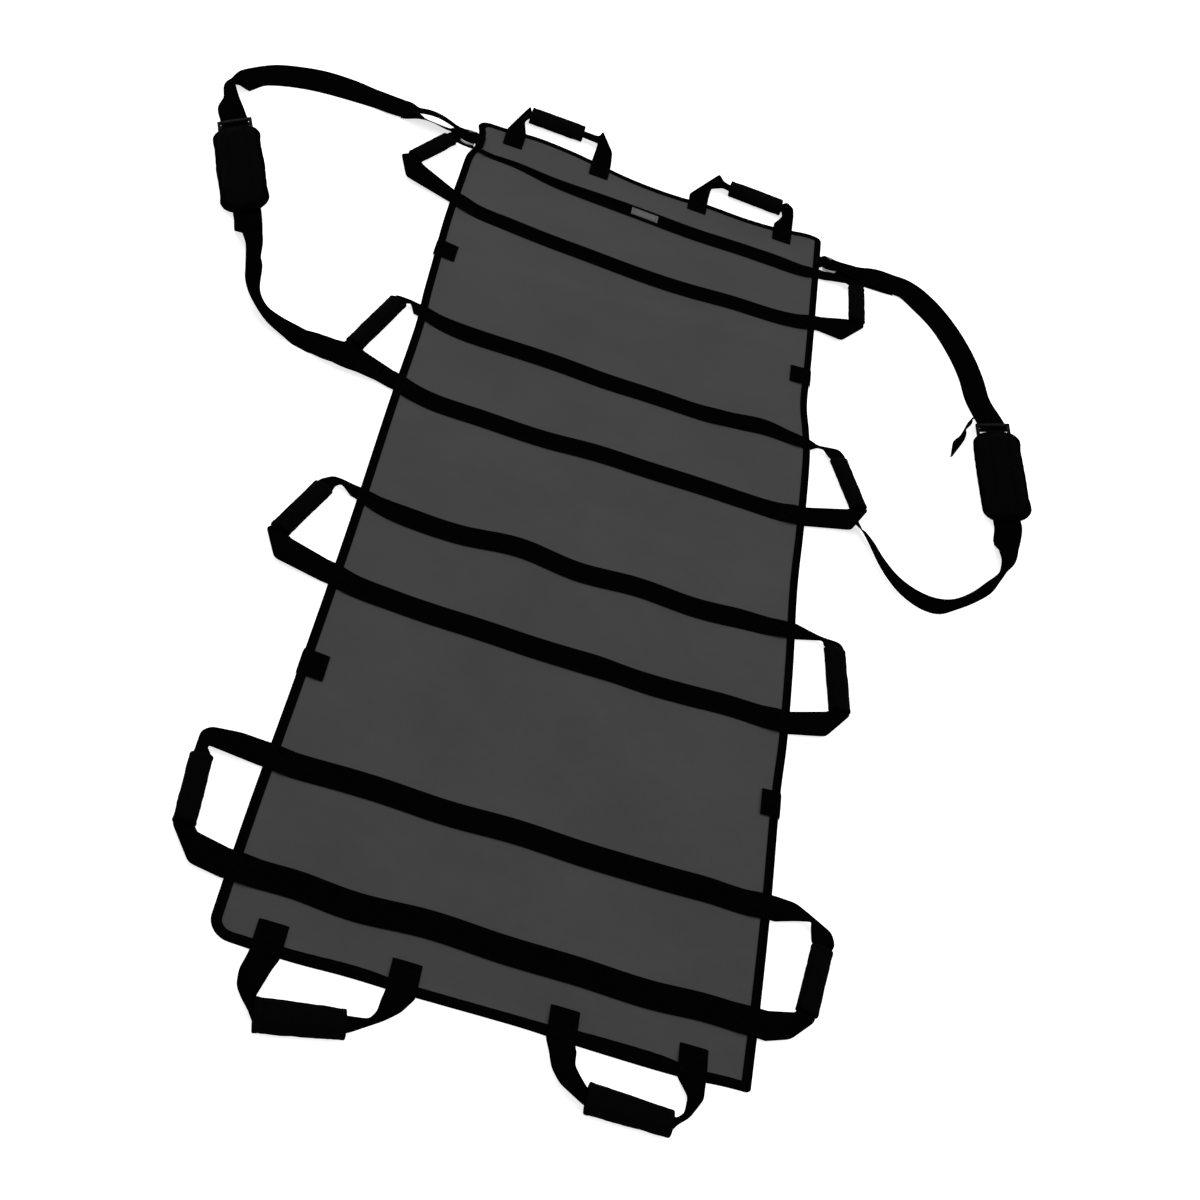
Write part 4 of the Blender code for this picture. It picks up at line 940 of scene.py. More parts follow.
# The stations of each loop's two corners: inner and outer selvedge, across the sheet and past the
# fold line
END_FOLDS = {
    "head_left": (
        (((-0.2870, 0.030), (-0.2980, 0.060)), ((-0.2865, 0.038), (-0.2860, 0.100))),
        (
            ((-0.1345, 0.050), (-0.1345, 0.078)),
            ((-0.1340, 0.046), (-0.1290, 0.103)),
            ((-0.1345, 0.030), (-0.1000, 0.036)),
        ),
    ),
    "head_right": (
        (
            ((0.1145, 0.020), (0.1040, 0.050)),
            ((0.1160, 0.032), (0.1285, 0.098)),
            ((0.1400, 0.050), (0.1400, 0.076)),
        ),
        (
            ((0.2700, 0.036), (0.2790, 0.083)),
            ((0.2715, 0.023), (0.2945, 0.068)),
            ((0.2660, 0.008), (0.2965, 0.040)),
        ),
    ),
    "foot_left": (
        (
            ((-0.2760, 0.025), (-0.3150, 0.036)),
            ((-0.2810, 0.048), (-0.3120, 0.059)),
            ((-0.2845, 0.063), (-0.3010, 0.075)),
            ((-0.2850, 0.070), (-0.2890, 0.088)),
        ),
        (
            ((-0.1440, 0.052), (-0.1440, 0.064)),
            ((-0.1370, 0.038), (-0.1260, 0.050)),
            ((-0.1360, 0.022), (-0.1080, 0.032)),
        ),
    ),
    "foot_right": (
        (
            ((0.1220, 0.015), (0.0860, 0.025)),
            ((0.1220, 0.033), (0.0920, 0.046)),
            ((0.1310, 0.046), (0.1060, 0.065)),
        ),
        (
            ((0.2615, 0.066), (0.2615, 0.078)),
            ((0.2710, 0.056), (0.2790, 0.061)),
            ((0.2730, 0.032), (0.2950, 0.030)),
        ),
    ),
}
tab_stitches = []
for name, (sign, leg_a, leg_b, (xa, reach_a), (xb, reach_b), grip_at, widths) in END_HANDLES.items():
    legs = []
    for leg, inner in ((leg_a, 1), (leg_b, -1)):
        stations = []
        for inset_by in np.linspace(END_TAB_LENGTH, -0.007, 14):
            z = float(web_level(inset_by))
            y = sign * (HALF_LENGTH - inset_by)
            halves = [inner * side * END_WEB_WIDTH / 2 for side in (1, -1)]
            stations.append(tuple(np.array((leg + half, y, z)) for half in halves))
        legs.append(stations)
        tab_stitches += box_and_cross(stations[1:12])
    corners = [
        [tuple(np.array((x, sign * (FOLD_Y + reach), END_RUN_HEIGHT)) for x, reach in pair) for pair in fold]
        for fold in END_FOLDS[name]
    ]
    line_a = np.array((xa, sign * (FOLD_Y + reach_a), END_RUN_HEIGHT))
    line_b = np.array((xb, sign * (FOLD_Y + reach_b), END_RUN_HEIGHT))
    along = unit(line_b - line_a)
    middle = line_a + along * ((grip_at - xa) / along[0])
    half = along * END_SLEEVE_LENGTH / 2
    across = np.array((-along[1], along[0], 0.0)) * sign * GRIP_WEB_WIDTH / 2
    inside = [(p - across, p + across) for p in (middle - half, middle + half)]
    level = np.array((0.0, sign * FOLD_LEVEL, 0.0))
    leave = tuple(p + level for p in legs[0][-1])
    back = tuple(p + level for p in legs[1][-1])
    stations = [*legs[0], leave, *corners[0], *inside, *corners[1], back, *legs[1][::-1]]
    pairs = relaxed(spread(stations), 3, held=14)
    loop = web_mesh(f"end_loop_{name}", pairs)
    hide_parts(f"end_handle_{name}", f"end_tab_{name}_left", f"end_tab_{name}_right")
    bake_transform(loop)
    ends = middle - half, middle + half
    pad, lines = sleeve(f"end_sleeve_{name}", *ends, widths, END_SLEEVE_THICKNESS, leg_a * 40)
    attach(pad, f"{name}_grip")
    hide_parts(f"end_grip_{name}")
    sew(f"end_sleeve_stitches_{name}", lines, f"{name}_grip", pitch=SLEEVE_PITCH)
sew("end_tab_stitches", tab_stitches, "sheet", pitch=BOX_PITCH)

# Edge tabs. Four short pieces of webbing folded over the side edges and sewn down on the sheet,
# where the carrier's straps can be tied on.
EDGE_TAB_WIDTH = 0.050
EDGE_TAB_THICKNESS = 0.0015
EDGE_TAB_CLEAR = 0.0006
# Side of the sheet, place along it, and how far each reaches over it
EDGE_TABS = {
    "head_left": (-1, 0.545, 0.038),
    "head_right": (1, 0.536, 0.038),
    "foot_left": (-1, -0.521, 0.037),
    "foot_right": (1, -0.513, 0.028),
}
tab_stitches = []
for name, (sign, y, reach) in EDGE_TABS.items():
    wall = HALF_WIDTH + EDGE_TAB_CLEAR + TAPE_THICKNESS + EDGE_TAB_THICKNESS / 2
    top_z = WEB_AT_EDGE + (EDGE_TAB_THICKNESS - WEB_THICKNESS) / 2
    line = [(wall, 0.0004), (wall, 0.0022), (wall - 0.0003, 0.0036)]
    line += [(wall - 0.0012, top_z - 0.0002), (wall - 0.003, top_z)]
    line += [(HALF_WIDTH - d, top_z) for d in (0.004, 0.008, TAPE_COVER)]
    for t in (0.25, 0.5, 0.75, 1.0):
        inset_by = TAPE_COVER + (reach - TAPE_COVER) * t
        line.append((HALF_WIDTH - inset_by, float(web_level(inset_by)) + top_z - WEB_AT_EDGE))
    pairs = []
    shift = float(settle(np.array(sign * HALF_WIDTH), np.array(y))[0]) - sign * HALF_WIDTH
    for x, z in line:
        edges = [y + half for half in (EDGE_TAB_WIDTH / 2, -EDGE_TAB_WIDTH / 2)]
        pairs.append(tuple(np.array((sign * x + shift, edge_y, z)) for edge_y in edges))
    patch = web_mesh(f"edge_tab_{name}_folded", pairs, EDGE_TAB_THICKNESS)
    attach(patch, "sheet")
    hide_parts(f"edge_tab_{name}")
    tab_stitches += box_and_cross(pairs[5:])
sew("edge_tab_stitches", tab_stitches, "sheet", pitch=BOX_PITCH)

# Label. A bare patch of woven satin, 55 by 24 mm, laid on the web nearest the head and sewn down by a
# fine row of stitches all round.
LABEL = (0.055, 0.024, 0.0006)
LABEL_X = -0.008
LABEL_PITCH = 0.0026
# Woven satin label: mid grey, slightly silky, threads of 0.2 mm drawn at 0.8 mm.
satin = woven_finish("woven_satin_label", "#4B4B4B", "#5C5C5C", 0.0008, 0.0016, 0.5, 0.2)
along_label = np.linspace(LABEL_X - LABEL[0] / 2, LABEL_X + LABEL[0] / 2, 13)
pairs = []
for x in along_label:
    a, b = web_station(1, x)
    centre = (a + b) / 2 + np.array((0.0, 0.0, WEB_THICKNESS / 2 + LABEL[2] / 2))
    reach = np.array((0.0, LABEL[1] / 2, 0.0))
    pairs.append((centre + reach, centre - reach))
label = web_mesh("label_bare", pairs, LABEL[2], columns=6)
label.data.materials.clear()
label.data.materials.append(satin)
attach(label, "sheet")
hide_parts("label_patch")
border = [on_band(pairs, across, LABEL[2] / 2 + STITCH_PROUD, 1, -1) for across in (0.08, 0.92)]
border += [[border[0][k] * (1 - t) + border[1][k] * t for t in np.linspace(0, 1, 6)] for k in (0, -1)]
sew("label_stitches", border, "sheet", pitch=LABEL_PITCH)

# D-rings. A welded steel D of 4.5 mm wire at each head corner, held at its straight bar by a web
# hook that is sewn on the sheet.
# Thickness of the wire, length of the opening along the bar, and how far the bow reaches from the bar
RING_WIRE = 0.0045
RING_INSIDE = 0.042
RING_DEPTH = 0.030
RING_SIDES = 16
RING_Y = {"left": 0.9295, "right": 0.9275}
# Play of a web round the wire
RING_PLAY = 0.0004
RING_TAB_WIDTH = 0.040
RING_TAB_THICKNESS = 0.0019
RING_TAB_REACH = 0.0135
# The hook is a slack loop past the bar: how far it reaches, the radius of its outer fold and how high
# the fold's middle lies, and by how much each of its sides is drawn in there
RING_TAB_SLACK = 0.015
RING_TAB_FOLD = 0.0018
RING_TAB_FOLD_Z = 0.0054
RING_TAB_DRAWN_IN = 0.003
# Its upper layer lies this high past the bar and falls by this much towards the fold
RING_TAB_TOP = 0.0094
RING_TAB_FALL = 0.0022
RING_TAB_PITCH = 0.0032
# Zinc-plated mild steel: light grey metal, drawn wire with fine scratches along it.
zinc_plate, tree, shader = finish_named("zinc_plated_steel", Metallic=1.0)
place = add(tree, "ShaderNodeTexCoord").outputs["Object"]
scratch = add(tree, "ShaderNodeTexNoise", {"Vector": place}, _2=420.0, _3=6.0, _4=0.7)
stain = add(tree, "ShaderNodeTexNoise", {"Vector": place}, _2=90.0, _3=3.0)
shade_between(tree, shader, stain.outputs[0], "#747476", "#8C8C8E")
dull_between(tree, shader, scratch.outputs[0], 0.22, 0.42)
bump_by(tree, shader, scratch.outputs[0], 0.15, 0.0002)

tab_stitches = []
for side, sign in SIGNS.items():
    y_mid = RING_Y[side]
    half = (RING_INSIDE + RING_WIRE) / 2
    plan = []
    for k in range(49):
        turn = math.pi * (k / 48 - 0.5)
        plan.append(np.array((RING_DEPTH * abs(math.cos(turn)) ** 0.5, half * math.sin(turn))))
    plan += [np.array((0.0, half * (1 - 2 * k / 10))) for k in range(1, 10)]
    rings = []
    for k, point in enumerate(plan):
        ahead = unit(plan[(k + 1) % len(plan)] - plan[k - 1])
        out = np.array((ahead[1], -ahead[0]))
        ring = []
        for j in range(RING_SIDES):
            turn = 2 * math.pi * j / RING_SIDES
            radial = point + out * (RING_WIRE / 2 * math.cos(turn))
            z = FOLD_Z + RING_WIRE / 2 * math.sin(turn)
            ring.append((sign * (FOLD_X + radial[0]), y_mid + radial[1], z))
        rings.append(ring)
    faces = []
    for i in range(len(rings)):
        here, there = i * RING_SIDES, (i + 1) % len(rings) * RING_SIDES
        for k in range(RING_SIDES):
            after = (k + 1) % RING_SIDES
            faces.append((here + k, here + after, there + after, there + k))
    ring_object = mesh_object(f"d_ring_{side}_wire", [p for ring in rings for p in ring], faces)
    face_outward(ring_object.data)
    ring_object.data.shade_smooth()
    ring_object.data.materials.append(zinc_plate)
    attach(ring_object, f"{side}_ring")
    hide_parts(f"d_ring_{side}")
    radius = RING_WIRE / 2 + RING_PLAY + RING_TAB_THICKNESS / 2
    flat_z = WEB_AT_EDGE + (RING_TAB_THICKNESS - WEB_THICKNESS) / 2
    line = [(HALF_WIDTH - d, flat_z) for d in (RING_TAB_REACH, 0.0125, 0.0115, 0.0105, 0.009)]
    line.append((FOLD_X - radius - 0.0028, flat_z + 0.0006))
    line.append((FOLD_X - radius, (FOLD_Z + radius + flat_z) / 2 + 0.0016))
    for k in range(5):
        turn = math.radians(100 - 10 * k)
        line.append((FOLD_X + radius * math.cos(turn), FOLD_Z + radius * math.sin(turn)))
    fold_at = RING_TAB_SLACK - RING_TAB_FOLD
    under_fold = RING_TAB_FOLD_Z - RING_TAB_FOLD
    for t in (0.2, 0.4, 0.6, 0.8):
        line.append((FOLD_X + 0.003 + (fold_at - 0.003) * t, RING_TAB_TOP - RING_TAB_FALL * t))
    for k in range(9):
        turn = math.radians(90 - 22.5 * k)
        x = FOLD_X + fold_at + RING_TAB_FOLD * math.cos(turn)
        line.append((x, RING_TAB_FOLD_Z + RING_TAB_FOLD * math.sin(turn)))
    for t in (0.25, 0.5, 0.75, 1.0):
        line.append((FOLD_X + fold_at * (1 - t), under_fold + (FOLD_Z - radius - under_fold) * t))
    pairs = []
    for x, z in line:
        centre = np.array((sign * x, y_mid, z))
        drawn_in = RING_TAB_DRAWN_IN * ease(x - FOLD_X, 0.004, RING_TAB_SLACK)
        reach = np.array((0.0, RING_TAB_WIDTH / 2 - drawn_in, 0.0))
        pairs.append((centre - reach, centre + reach))
    hook = web_mesh(f"ring_tab_{side}_hook", pairs, RING_TAB_THICKNESS)
    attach(hook, "sheet")
    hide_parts(f"ring_tab_{side}")
    lift_by = RING_TAB_THICKNESS / 2 + STITCH_PROUD
    tab_stitches += [on_band(pairs, across, lift_by, 0, 5) for across in (0.1, 0.9)]
    for k in (1, 4):
        row = [pairs[k][0] * (1 - t) + pairs[k][1] * t for t in np.linspace(0.1, 0.9, 9)]
        tab_stitches.append([point + np.array((0, 0, lift_by)) for point in row])
sew("ring_tab_stitches", tab_stitches, "sheet", pitch=RING_TAB_PITCH)

# Shoulder straps. Each is 50 mm webbing: an upper web, turned round the ring and sewn back on itself,
# that comes up in the ladder buckle, and a lower web from the buckle, under the pad, to the folded
# corner of the second side handle. The right one has a loose tail.
STRAP_WIDTH = 0.050
# Its width in the ring and its play there, the length turned back on itself and the stations of that
# which are sewn, and how far the two layers stand apart in the middle
STRAP_LOOP_WIDTH = 0.036
STRAP_LOOP_SLACK = 0.005
STRAP_LAP_LENGTH = 0.120
LAP_SEWN_STATIONS = 12
STRAP_LAP_BULGE = {"left": 0.014, "right": 0.005}
# The right strap's end, drawn together, is tucked this far under the handle's folded corner
STRAP_END_WIDTH = 0.024
STRAP_END_TUCK = 0.015
STRAP_END_HEIGHT = 0.0075
# Clearance between a web and what it lies on
CLEAR = 0.0003
PAD_LENGTH = 0.240
BUCKLE_LENGTH = 0.034
BUCKLE_BAR = 0.006
BUCKLE_THICKNESS = 0.0050
BUCKLE_MIDDLE = PAD_LENGTH / 2 + CLEAR + BUCKLE_LENGTH / 2
BUCKLE_SLOT = (BUCKLE_LENGTH - 3 * BUCKLE_BAR) / 2
# The pad's middle past the fold line and along the sheet, and its turn in degrees
PADS = {"left": (0.380, 0.5660, 20.0), "right": (0.3745, 0.4370, 5.0)}
# Each strap is twisted where it runs under its pad, which tips the pad: its right side is raised by
# this angle, it has slid by this much across and along itself, and its rim stays clear of the ground
PAD_TILT = 20
PAD_SLID = {"left": (-0.001, -0.019), "right": (-0.005, -0.026)}
PAD_RIM_CLEAR = 0.0004
# The strap is held up under the tipped pad for so many stations and comes down over so many more
HELD_UP_STATIONS = 34
COMING_DOWN_STATIONS = 22
# How wide each pad lies: the left one is drawn together a little
PAD_SHOWN = {"left": 0.087, "right": 0.090}
# Each point: how far past the fold line, place along the sheet, lean in degrees, width
UPPER_ROUTES = {
    "left": (
        (0.060, 0.9300, -20, 0.040), (0.085, 0.9310, -19, 0.045), (0.115, 0.9320, -15, 0.049),
        (0.145, 0.9420, 8, 0.050), (0.175, 0.9410, 13, 0.050), (0.212, 0.9450, 14, 0.050),
        (0.255, 0.9410, 22, 0.050), (0.308, 0.9335, 26, 0.050), (0.354, 0.9225, 23, 0.050),
        (0.397, 0.9050, 19, 0.050), (0.429, 0.8840, 11, 0.049), (0.4480, 0.8530, 12, 0.048),
        (0.4600, 0.8280, -18, 0.047), (0.4635, 0.7850, -68, 0.047), (0.4560, 0.7480, -46, 0.048),
    ),
    "right": (
        (0.062, 0.9250, 0, 0.042), (0.090, 0.9200, 10, 0.046), (0.124, 0.9230, 15, 0.050),
        (0.173, 0.9260, 19, 0.050), (0.215, 0.8955, 26, 0.050), (0.260, 0.8460, 20, 0.050),
        (0.296, 0.7770, 18, 0.050), (0.320, 0.7100, 14, 0.050), (0.334, 0.6430, 14, 0.050),
    ),
}
LOWER_ROUTES = {
    "left": (
        (0.3100, 0.3760, 26, 0.050), (0.3000, 0.3450, 44, 0.050),
        (0.2905, 0.3200, 45, 0.050), (0.2790, 0.2670, 50, 0.050), (0.2680, 0.2350, 44, 0.050),
        (0.2480, 0.2070, 35, 0.050), (0.2170, 0.1875, 17, 0.050), (0.1780, 0.1755, 3, 0.050),
        (0.1393, 0.1640, -11, 0.050), (0.1130, 0.1520, -14, 0.050), (0.0850, 0.1450, -12, 0.050),
        (0.0580, 0.1445, -4, 0.050), (0.0240, 0.1410, 0, 0.044),
    ),
    "right": (
        (0.3835, 0.2420, -2, 0.050), (0.3800, 0.2190, -14, 0.050),
        (0.3710, 0.1900, -42, 0.050), (0.3640, 0.1560, -65, 0.050), (0.3500, 0.1130, -80, 0.050),
        (0.3210, 0.0740, -86, 0.050), (0.2910, 0.0400, -95, 0.050), (0.2590, 0.0120, -99, 0.050),
        (0.2290, 0.0040, -106, 0.050), (0.1980, 0.0110, -112, 0.050), (0.1680, 0.0310, -116, 0.050),
        (0.1430, 0.0630, -118, 0.050), (0.1265, 0.0960, -118, 0.046), (0.1145, 0.1265, -124, 0.038),
    ),
}
# The ring's loop of each strap leans by this much, and the lower of its two layers by so much more
LOOP_LEAN = {"left": -20, "right": 0}
LAP_TWIST = {"left": 13, "right": 0}
# The left strap's end lies on the handle's folded corner: how high, by its reach past the fold line
LAPPED_REACH = (0.020, 0.057, 0.098, 0.140)
LAPPED_RISE = (0.0074, 0.0116, 0.0120, 0.0)
TAIL_ROUTE = (
    (0.3330, 0.5880, 40, 0.022), (0.3170, 0.5690, 80, 0.022), (0.3085, 0.5400, 74, 0.026),
    (0.2980, 0.5160, 86, 0.028), (0.2925, 0.4980, 57, 0.028), (0.2870, 0.4740, 60, 0.024),
    (0.2795, 0.4490, 66, 0.006),
)


def lying(side, route, lift_by=None):
    """Stations of a web that leans on one selvedge on the ground: its middle, and half its width."""
    sign = SIGNS[side]
    plan = np.array([(sign * (FOLD_X + r), y) for r, y, *_ in route])
    stations = []
    for i, (_, _, lean, width) in enumerate(route):
        ahead = unit(plan[min(i + 1, len(plan) - 1)] - plan[max(i - 1, 0)])
        outer = np.array((ahead[1], -ahead[0])) * -sign
        turn = math.radians(lean)
        across = np.array((*(outer * math.cos(turn)), math.sin(turn)))
        z = CLEAR + abs(math.sin(turn)) * width / 2 + abs(math.cos(turn)) * WEB_THICKNESS / 2
        z += lift_by[i] if lift_by is not None else 0.0
        stations.append((np.array((*plan[i], z)), across * width / 2))
    return stations


def selvedges(stations):
    """Both selvedge points of each station."""
    return [(centre - half, centre + half) for centre, half in stations]


def pad_place(side, tipped=True):
    """The pad's frame, its Y along the strap towards the ring: tipped as it lies, or flat."""
    r, y, turn = PADS[side]
    flat = Matrix.Translation((SIGNS[side] * (FOLD_X + r), y, CLEAR))
    flat = flat @ Matrix.Rotation(math.radians(turn), 4, "Z")
    if not tipped:
        return flat
    tilt = math.radians(PAD_TILT)
    raised = Matrix.Translation((*PAD_SLID[side], PAD_SHOWN[side] / 2 * math.sin(tilt) + PAD_RIM_CLEAR))
    return flat @ raised @ Matrix.Rotation(-tilt, 4, "Y")


def upper_strap(side):
    """Selvedges from the end of the sewn lap, round the ring's bow and out to the buckle's top."""
    sign = SIGNS[side]
    y = RING_Y[side]
    bend = RING_WIRE / 2 + RING_PLAY + WEB_THICKNESS / 2
    beside = (STRAP_LOOP_WIDTH + RING_WIRE / 2) / (RING_INSIDE + RING_WIRE)
    turn_x = FOLD_X + RING_DEPTH * math.cos(math.asin(beside)) ** 0.5 - STRAP_LOOP_SLACK
    past_bow, run_in = RING_DEPTH + RING_WIRE, 0.010
    place = pad_place(side)
    entry = place @ Vector((0, BUCKLE_MIDDLE + BUCKLE_BAR + BUCKLE_LENGTH, 0))
    lean = LOOP_LEAN[side]
    beyond = (past_bow + run_in, y, lean, STRAP_LOOP_WIDTH)
    arrive = (abs(entry.x) - FOLD_X, entry.y, sign * PAD_TILT, STRAP_WIDTH)
    near = [(past_bow + run_in * t, y, lean * t, STRAP_LOOP_WIDTH) for t in (0.0, 0.33, 0.66)]
    route = near + [tuple(p) for p in through([beyond, *UPPER_ROUTES[side], arrive], 9)]
    far = np.cumsum([0.0] + [math.hypot(b[0] - a[0], b[1] - a[1]) for a, b in zip(route, route[1:])])
    share = np.minimum(far / STRAP_LAP_LENGTH, 1.0)
    gap = 2 * bend + (WEB_THICKNESS + 3 * CLEAR - 2 * bend) * share
    gap += STRAP_LAP_BULGE[side] * np.sin(math.pi * share)
    # Past the lap the upper layer comes down to the ground
    fade = 1 - np.clip((far - STRAP_LAP_LENGTH * 1.15) / (STRAP_LAP_LENGTH * 0.4), 0.0, 1.0)
    main = lying(side, route, gap * fade + (FOLD_Z - bend - CLEAR - WEB_THICKNESS / 2) * (1 - share))
    twist = LAP_TWIST[side] * np.sin(math.pi * share)
    twisted = lying(side, [(r, y, lean - turn, width) for (r, y, lean, width), turn in zip(route, twist)])
    lower = []
    for i, (centre, half) in enumerate(main):
        if far[i] > STRAP_LAP_LENGTH:
            break
        ahead = main[i + 1][0] - main[max(i - 1, 0)][0]
        down = unit(np.cross(ahead, half))
        down = -down if down[2] > 0 else down
        half = twisted[i][1]
        middle = centre + down * gap[i]
        middle[2] = max(middle[2], CLEAR + WEB_THICKNESS / 2 + abs(half[2]))
        lower.append((middle, half))
    pairs = selvedges(lower)[::-1]
    half_y = -STRAP_LOOP_WIDTH / 2 if pairs[-1][1][1] < pairs[-1][0][1] else STRAP_LOOP_WIDTH / 2
    for k in range(19):
        turn = math.radians(-90 - 10 * k)
        centre = np.array((sign * (turn_x + bend * math.cos(turn)), y, FOLD_Z + bend * math.sin(turn)))
        pairs.append((centre - (0, half_y, 0), centre + (0, half_y, 0)))
    lap_end = len(pairs) + len(lower)
    pairs += selvedges(main)
    across = np.array(place.to_3x3() @ Vector((1, 0, 0))) * STRAP_WIDTH / 2
    across = -across if across.dot(pairs[-1][1] - pairs[-1][0]) < 0 else across
    under = WEB_THICKNESS / 2
    above = under + 2 * (CLEAR + WEB_THICKNESS / 2) + BUCKLE_THICKNESS
    path = [
        (BUCKLE_LENGTH / 2 + 0.006, under),
        (BUCKLE_BAR / 2 + BUCKLE_SLOT * 0.92, under),
        (BUCKLE_BAR / 2 + BUCKLE_SLOT * 0.75, under + 0.0011),
        (BUCKLE_BAR / 2 + BUCKLE_SLOT * 0.30, above - 0.0012),
        (BUCKLE_BAR / 2 + BUCKLE_SLOT * 0.10, above),
        (-BUCKLE_BAR / 2, above),
    ]
    for from_middle, z in path:
        centre = np.array(place @ Vector((0, BUCKLE_MIDDLE + from_middle, z)))
        pairs.append((centre - across, centre + across))
    return pairs, lap_end


def lower_strap(side):
    """Selvedges from the buckle's second slot, under the pad, to the corner of the side handle."""
    sign = SIGNS[side]
    place = pad_place(side)
    start = []
    in_slot = BUCKLE_MIDDLE - BUCKLE_BAR / 2 - BUCKLE_SLOT * 0.6
    for along_pad in (in_slot, 0.004 - PAD_LENGTH / 2, -0.018 - PAD_LENGTH / 2):
        point = place @ Vector((0, along_pad, 0))
        start.append((abs(point.x) - FOLD_X, point.y, sign * PAD_TILT, STRAP_WIDTH))
    first, last = np.array(start[0]), np.array(start[1])
    under_pad = [tuple(first * (1 - t) + last * t) for t in np.linspace(0, 0.95, 30)]
    route = under_pad + [tuple(p) for p in through([*start[1:], *LOWER_ROUTES[side]], 9)]
    under_rise = (PAD_SHOWN[side] - STRAP_WIDTH) / 2 * math.sin(math.radians(PAD_TILT))
    past = (np.arange(len(route)) - HELD_UP_STATIONS) / COMING_DOWN_STATIONS
    rise = under_rise * np.clip(1 - past, 0.0, 1.0)
    if side == "left":
        rise += np.interp([station[0] for station in route], LAPPED_REACH, LAPPED_RISE)
        return selvedges(lying(side, route, rise))
    pairs = selvedges(lying(side, route, rise))
    one, two = sewn_corner[side]
    seam = unit(two - one)
    away = np.array((seam[1], -seam[0], 0.0))
    away = -away if away[0] * sign < 0 else away
    middle = (one + two) / 2 - away * STRAP_END_TUCK
    middle[2] = STRAP_END_HEIGHT
    ends = [middle + seam * STRAP_END_WIDTH * share for share in (-0.5, 0.5)]
    ends = ends[::-1] if (pairs[-1][1] - pairs[-1][0]).dot(ends[1] - ends[0]) < 0 else ends
    last = pairs[-1]
    pairs += [tuple(last[k] * (1 - t) + ends[k] * t for k in (0, 1)) for t in np.linspace(0.1, 1.0, 10)]
    return pairs


for side in SIGNS:
    pairs, lap_end = upper_strap(side)
    upper = web_mesh(f"strap_upper_{side}", pairs)
    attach(upper, f"{side}_strap")
    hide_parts(f"strap_upper_web_{side}")
    lap = pairs[lap_end - LAP_SEWN_STATIONS : lap_end]
    sew(f"strap_lap_stitches_{side}", box_and_cross(lap), f"{side}_strap", pitch=BOX_PITCH)
    lower_pairs = lower_strap(side)
    lower = web_mesh(f"strap_lower_{side}", lower_pairs)
    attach(lower, f"{side}_strap")
    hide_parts(f"strap_lower_web_{side}")
    if side == "left":
        sew("strap_end_stitches_left", box_and_cross(lower_pairs[-11:-1]), "left_strap", pitch=BOX_PITCH)
tail_route = [tuple(p) for p in through(TAIL_ROUTE, 8)]
tail = web_mesh("strap_tail_loose", selvedges(lying("right", tail_route)))
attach(tail, "right_strap")
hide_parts("strap_tail_right")

# Buckles. A ladder frame of three bars above each pad, moulded in one piece with rounded edges. The
# upper web comes up through its first slot and over the middle bar; the lower one leaves by the second.
# Acetal, injection moulded: black, finely eroded by the mould and nearly matt.
acetal, tree, shader = finish_named("moulded_acetal", Specular_IOR_Level=0.04)
place = add(tree, "ShaderNodeTexCoord").outputs["Object"]
grain = add(tree, "ShaderNodeTexNoise", {"Vector": place}, _2=900.0, _3=3.0)
scuff = add(tree, "ShaderNodeTexNoise", {"Vector": place}, _2=120.0, _3=4.0)
shade_between(tree, shader, scuff.outputs[0], "#040404", "#0A0A0A")
dull_between(tree, shader, scuff.outputs[0], 0.58, 0.72)
bump_by(tree, shader, grain.outputs[0], 0.2, 0.0001)
for side in SIGNS:
    mesh = frame["nodes"][f"strap_buckle_{side}"].data.copy()
    mesh.name = f"ladder_buckle_{side}"
    work = bmesh.new()
    work.from_mesh(mesh)
    bmesh.ops.remove_doubles(work, verts=work.verts, dist=1e-5)
    bmesh.ops.dissolve_limit(work, angle_limit=math.radians(1), verts=work.verts, edges=work.edges)
    work.to_mesh(mesh)
    work.free()
    mesh.transform(pad_place(side) @ pad_place(side, tipped=False).inverted())
    mesh.materials.clear()
    mesh.materials.append(acetal)
    buckle = linked(f"ladder_buckle_{side}", mesh)
    rounded = buckle.modifiers.new("mould_rounding", "BEVEL")
    rounded.width = 0.0011
    rounded.segments = 3
    rounded.limit_method = "ANGLE"
    rounded.angle_limit = math.radians(40)
    mesh.shade_smooth()
    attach(buckle, f"{side}_strap")
    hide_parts(f"strap_buckle_{side}")

# Shoulder pads. A foam pad in pack cloth, crowned above and flat where it lies on the strap, its
# rim bound with tape and its top quilted in three channels; the strap's web runs underneath.
PAD_WIDTH = 0.099
PAD_THICKNESS = 0.020
PAD_BOWED_OUT = 0.0030
PAD_CORNER = 0.034
# From the middle of the underside out round the rim to the middle of the top: share of the half
# width, and height
PAD_PROFILE = (
    (0.0, 0.0), (0.35, 0.0), (0.62, 0.0), (0.80, 0.0), (0.90, 0.04), (0.96, 0.14), (0.99, 0.28),
    (1.0, 0.45), (0.985, 0.62), (0.95, 0.76), (0.88, 0.87), (0.77, 0.94), (0.60, 0.98), (0.35, 1.0),
    (0.0, 1.0),
)
# The foam's filling: cell of the cloth, pressure, and the frames over which it swells
PAD_CELL = 0.0048
PAD_PRESSURE = 4.0
PAD_FRAMES = 20
# Points round the rim, and the angles from level at which the bound tape's width lies round it
RIM = 96
RIM_ANGLES = (-58, -40, -20, 0, 20, 38, 54, 68)
RIM_INSET = 0.010
RIM_PROUD = 0.0007
RIM_SUNK = 0.0005
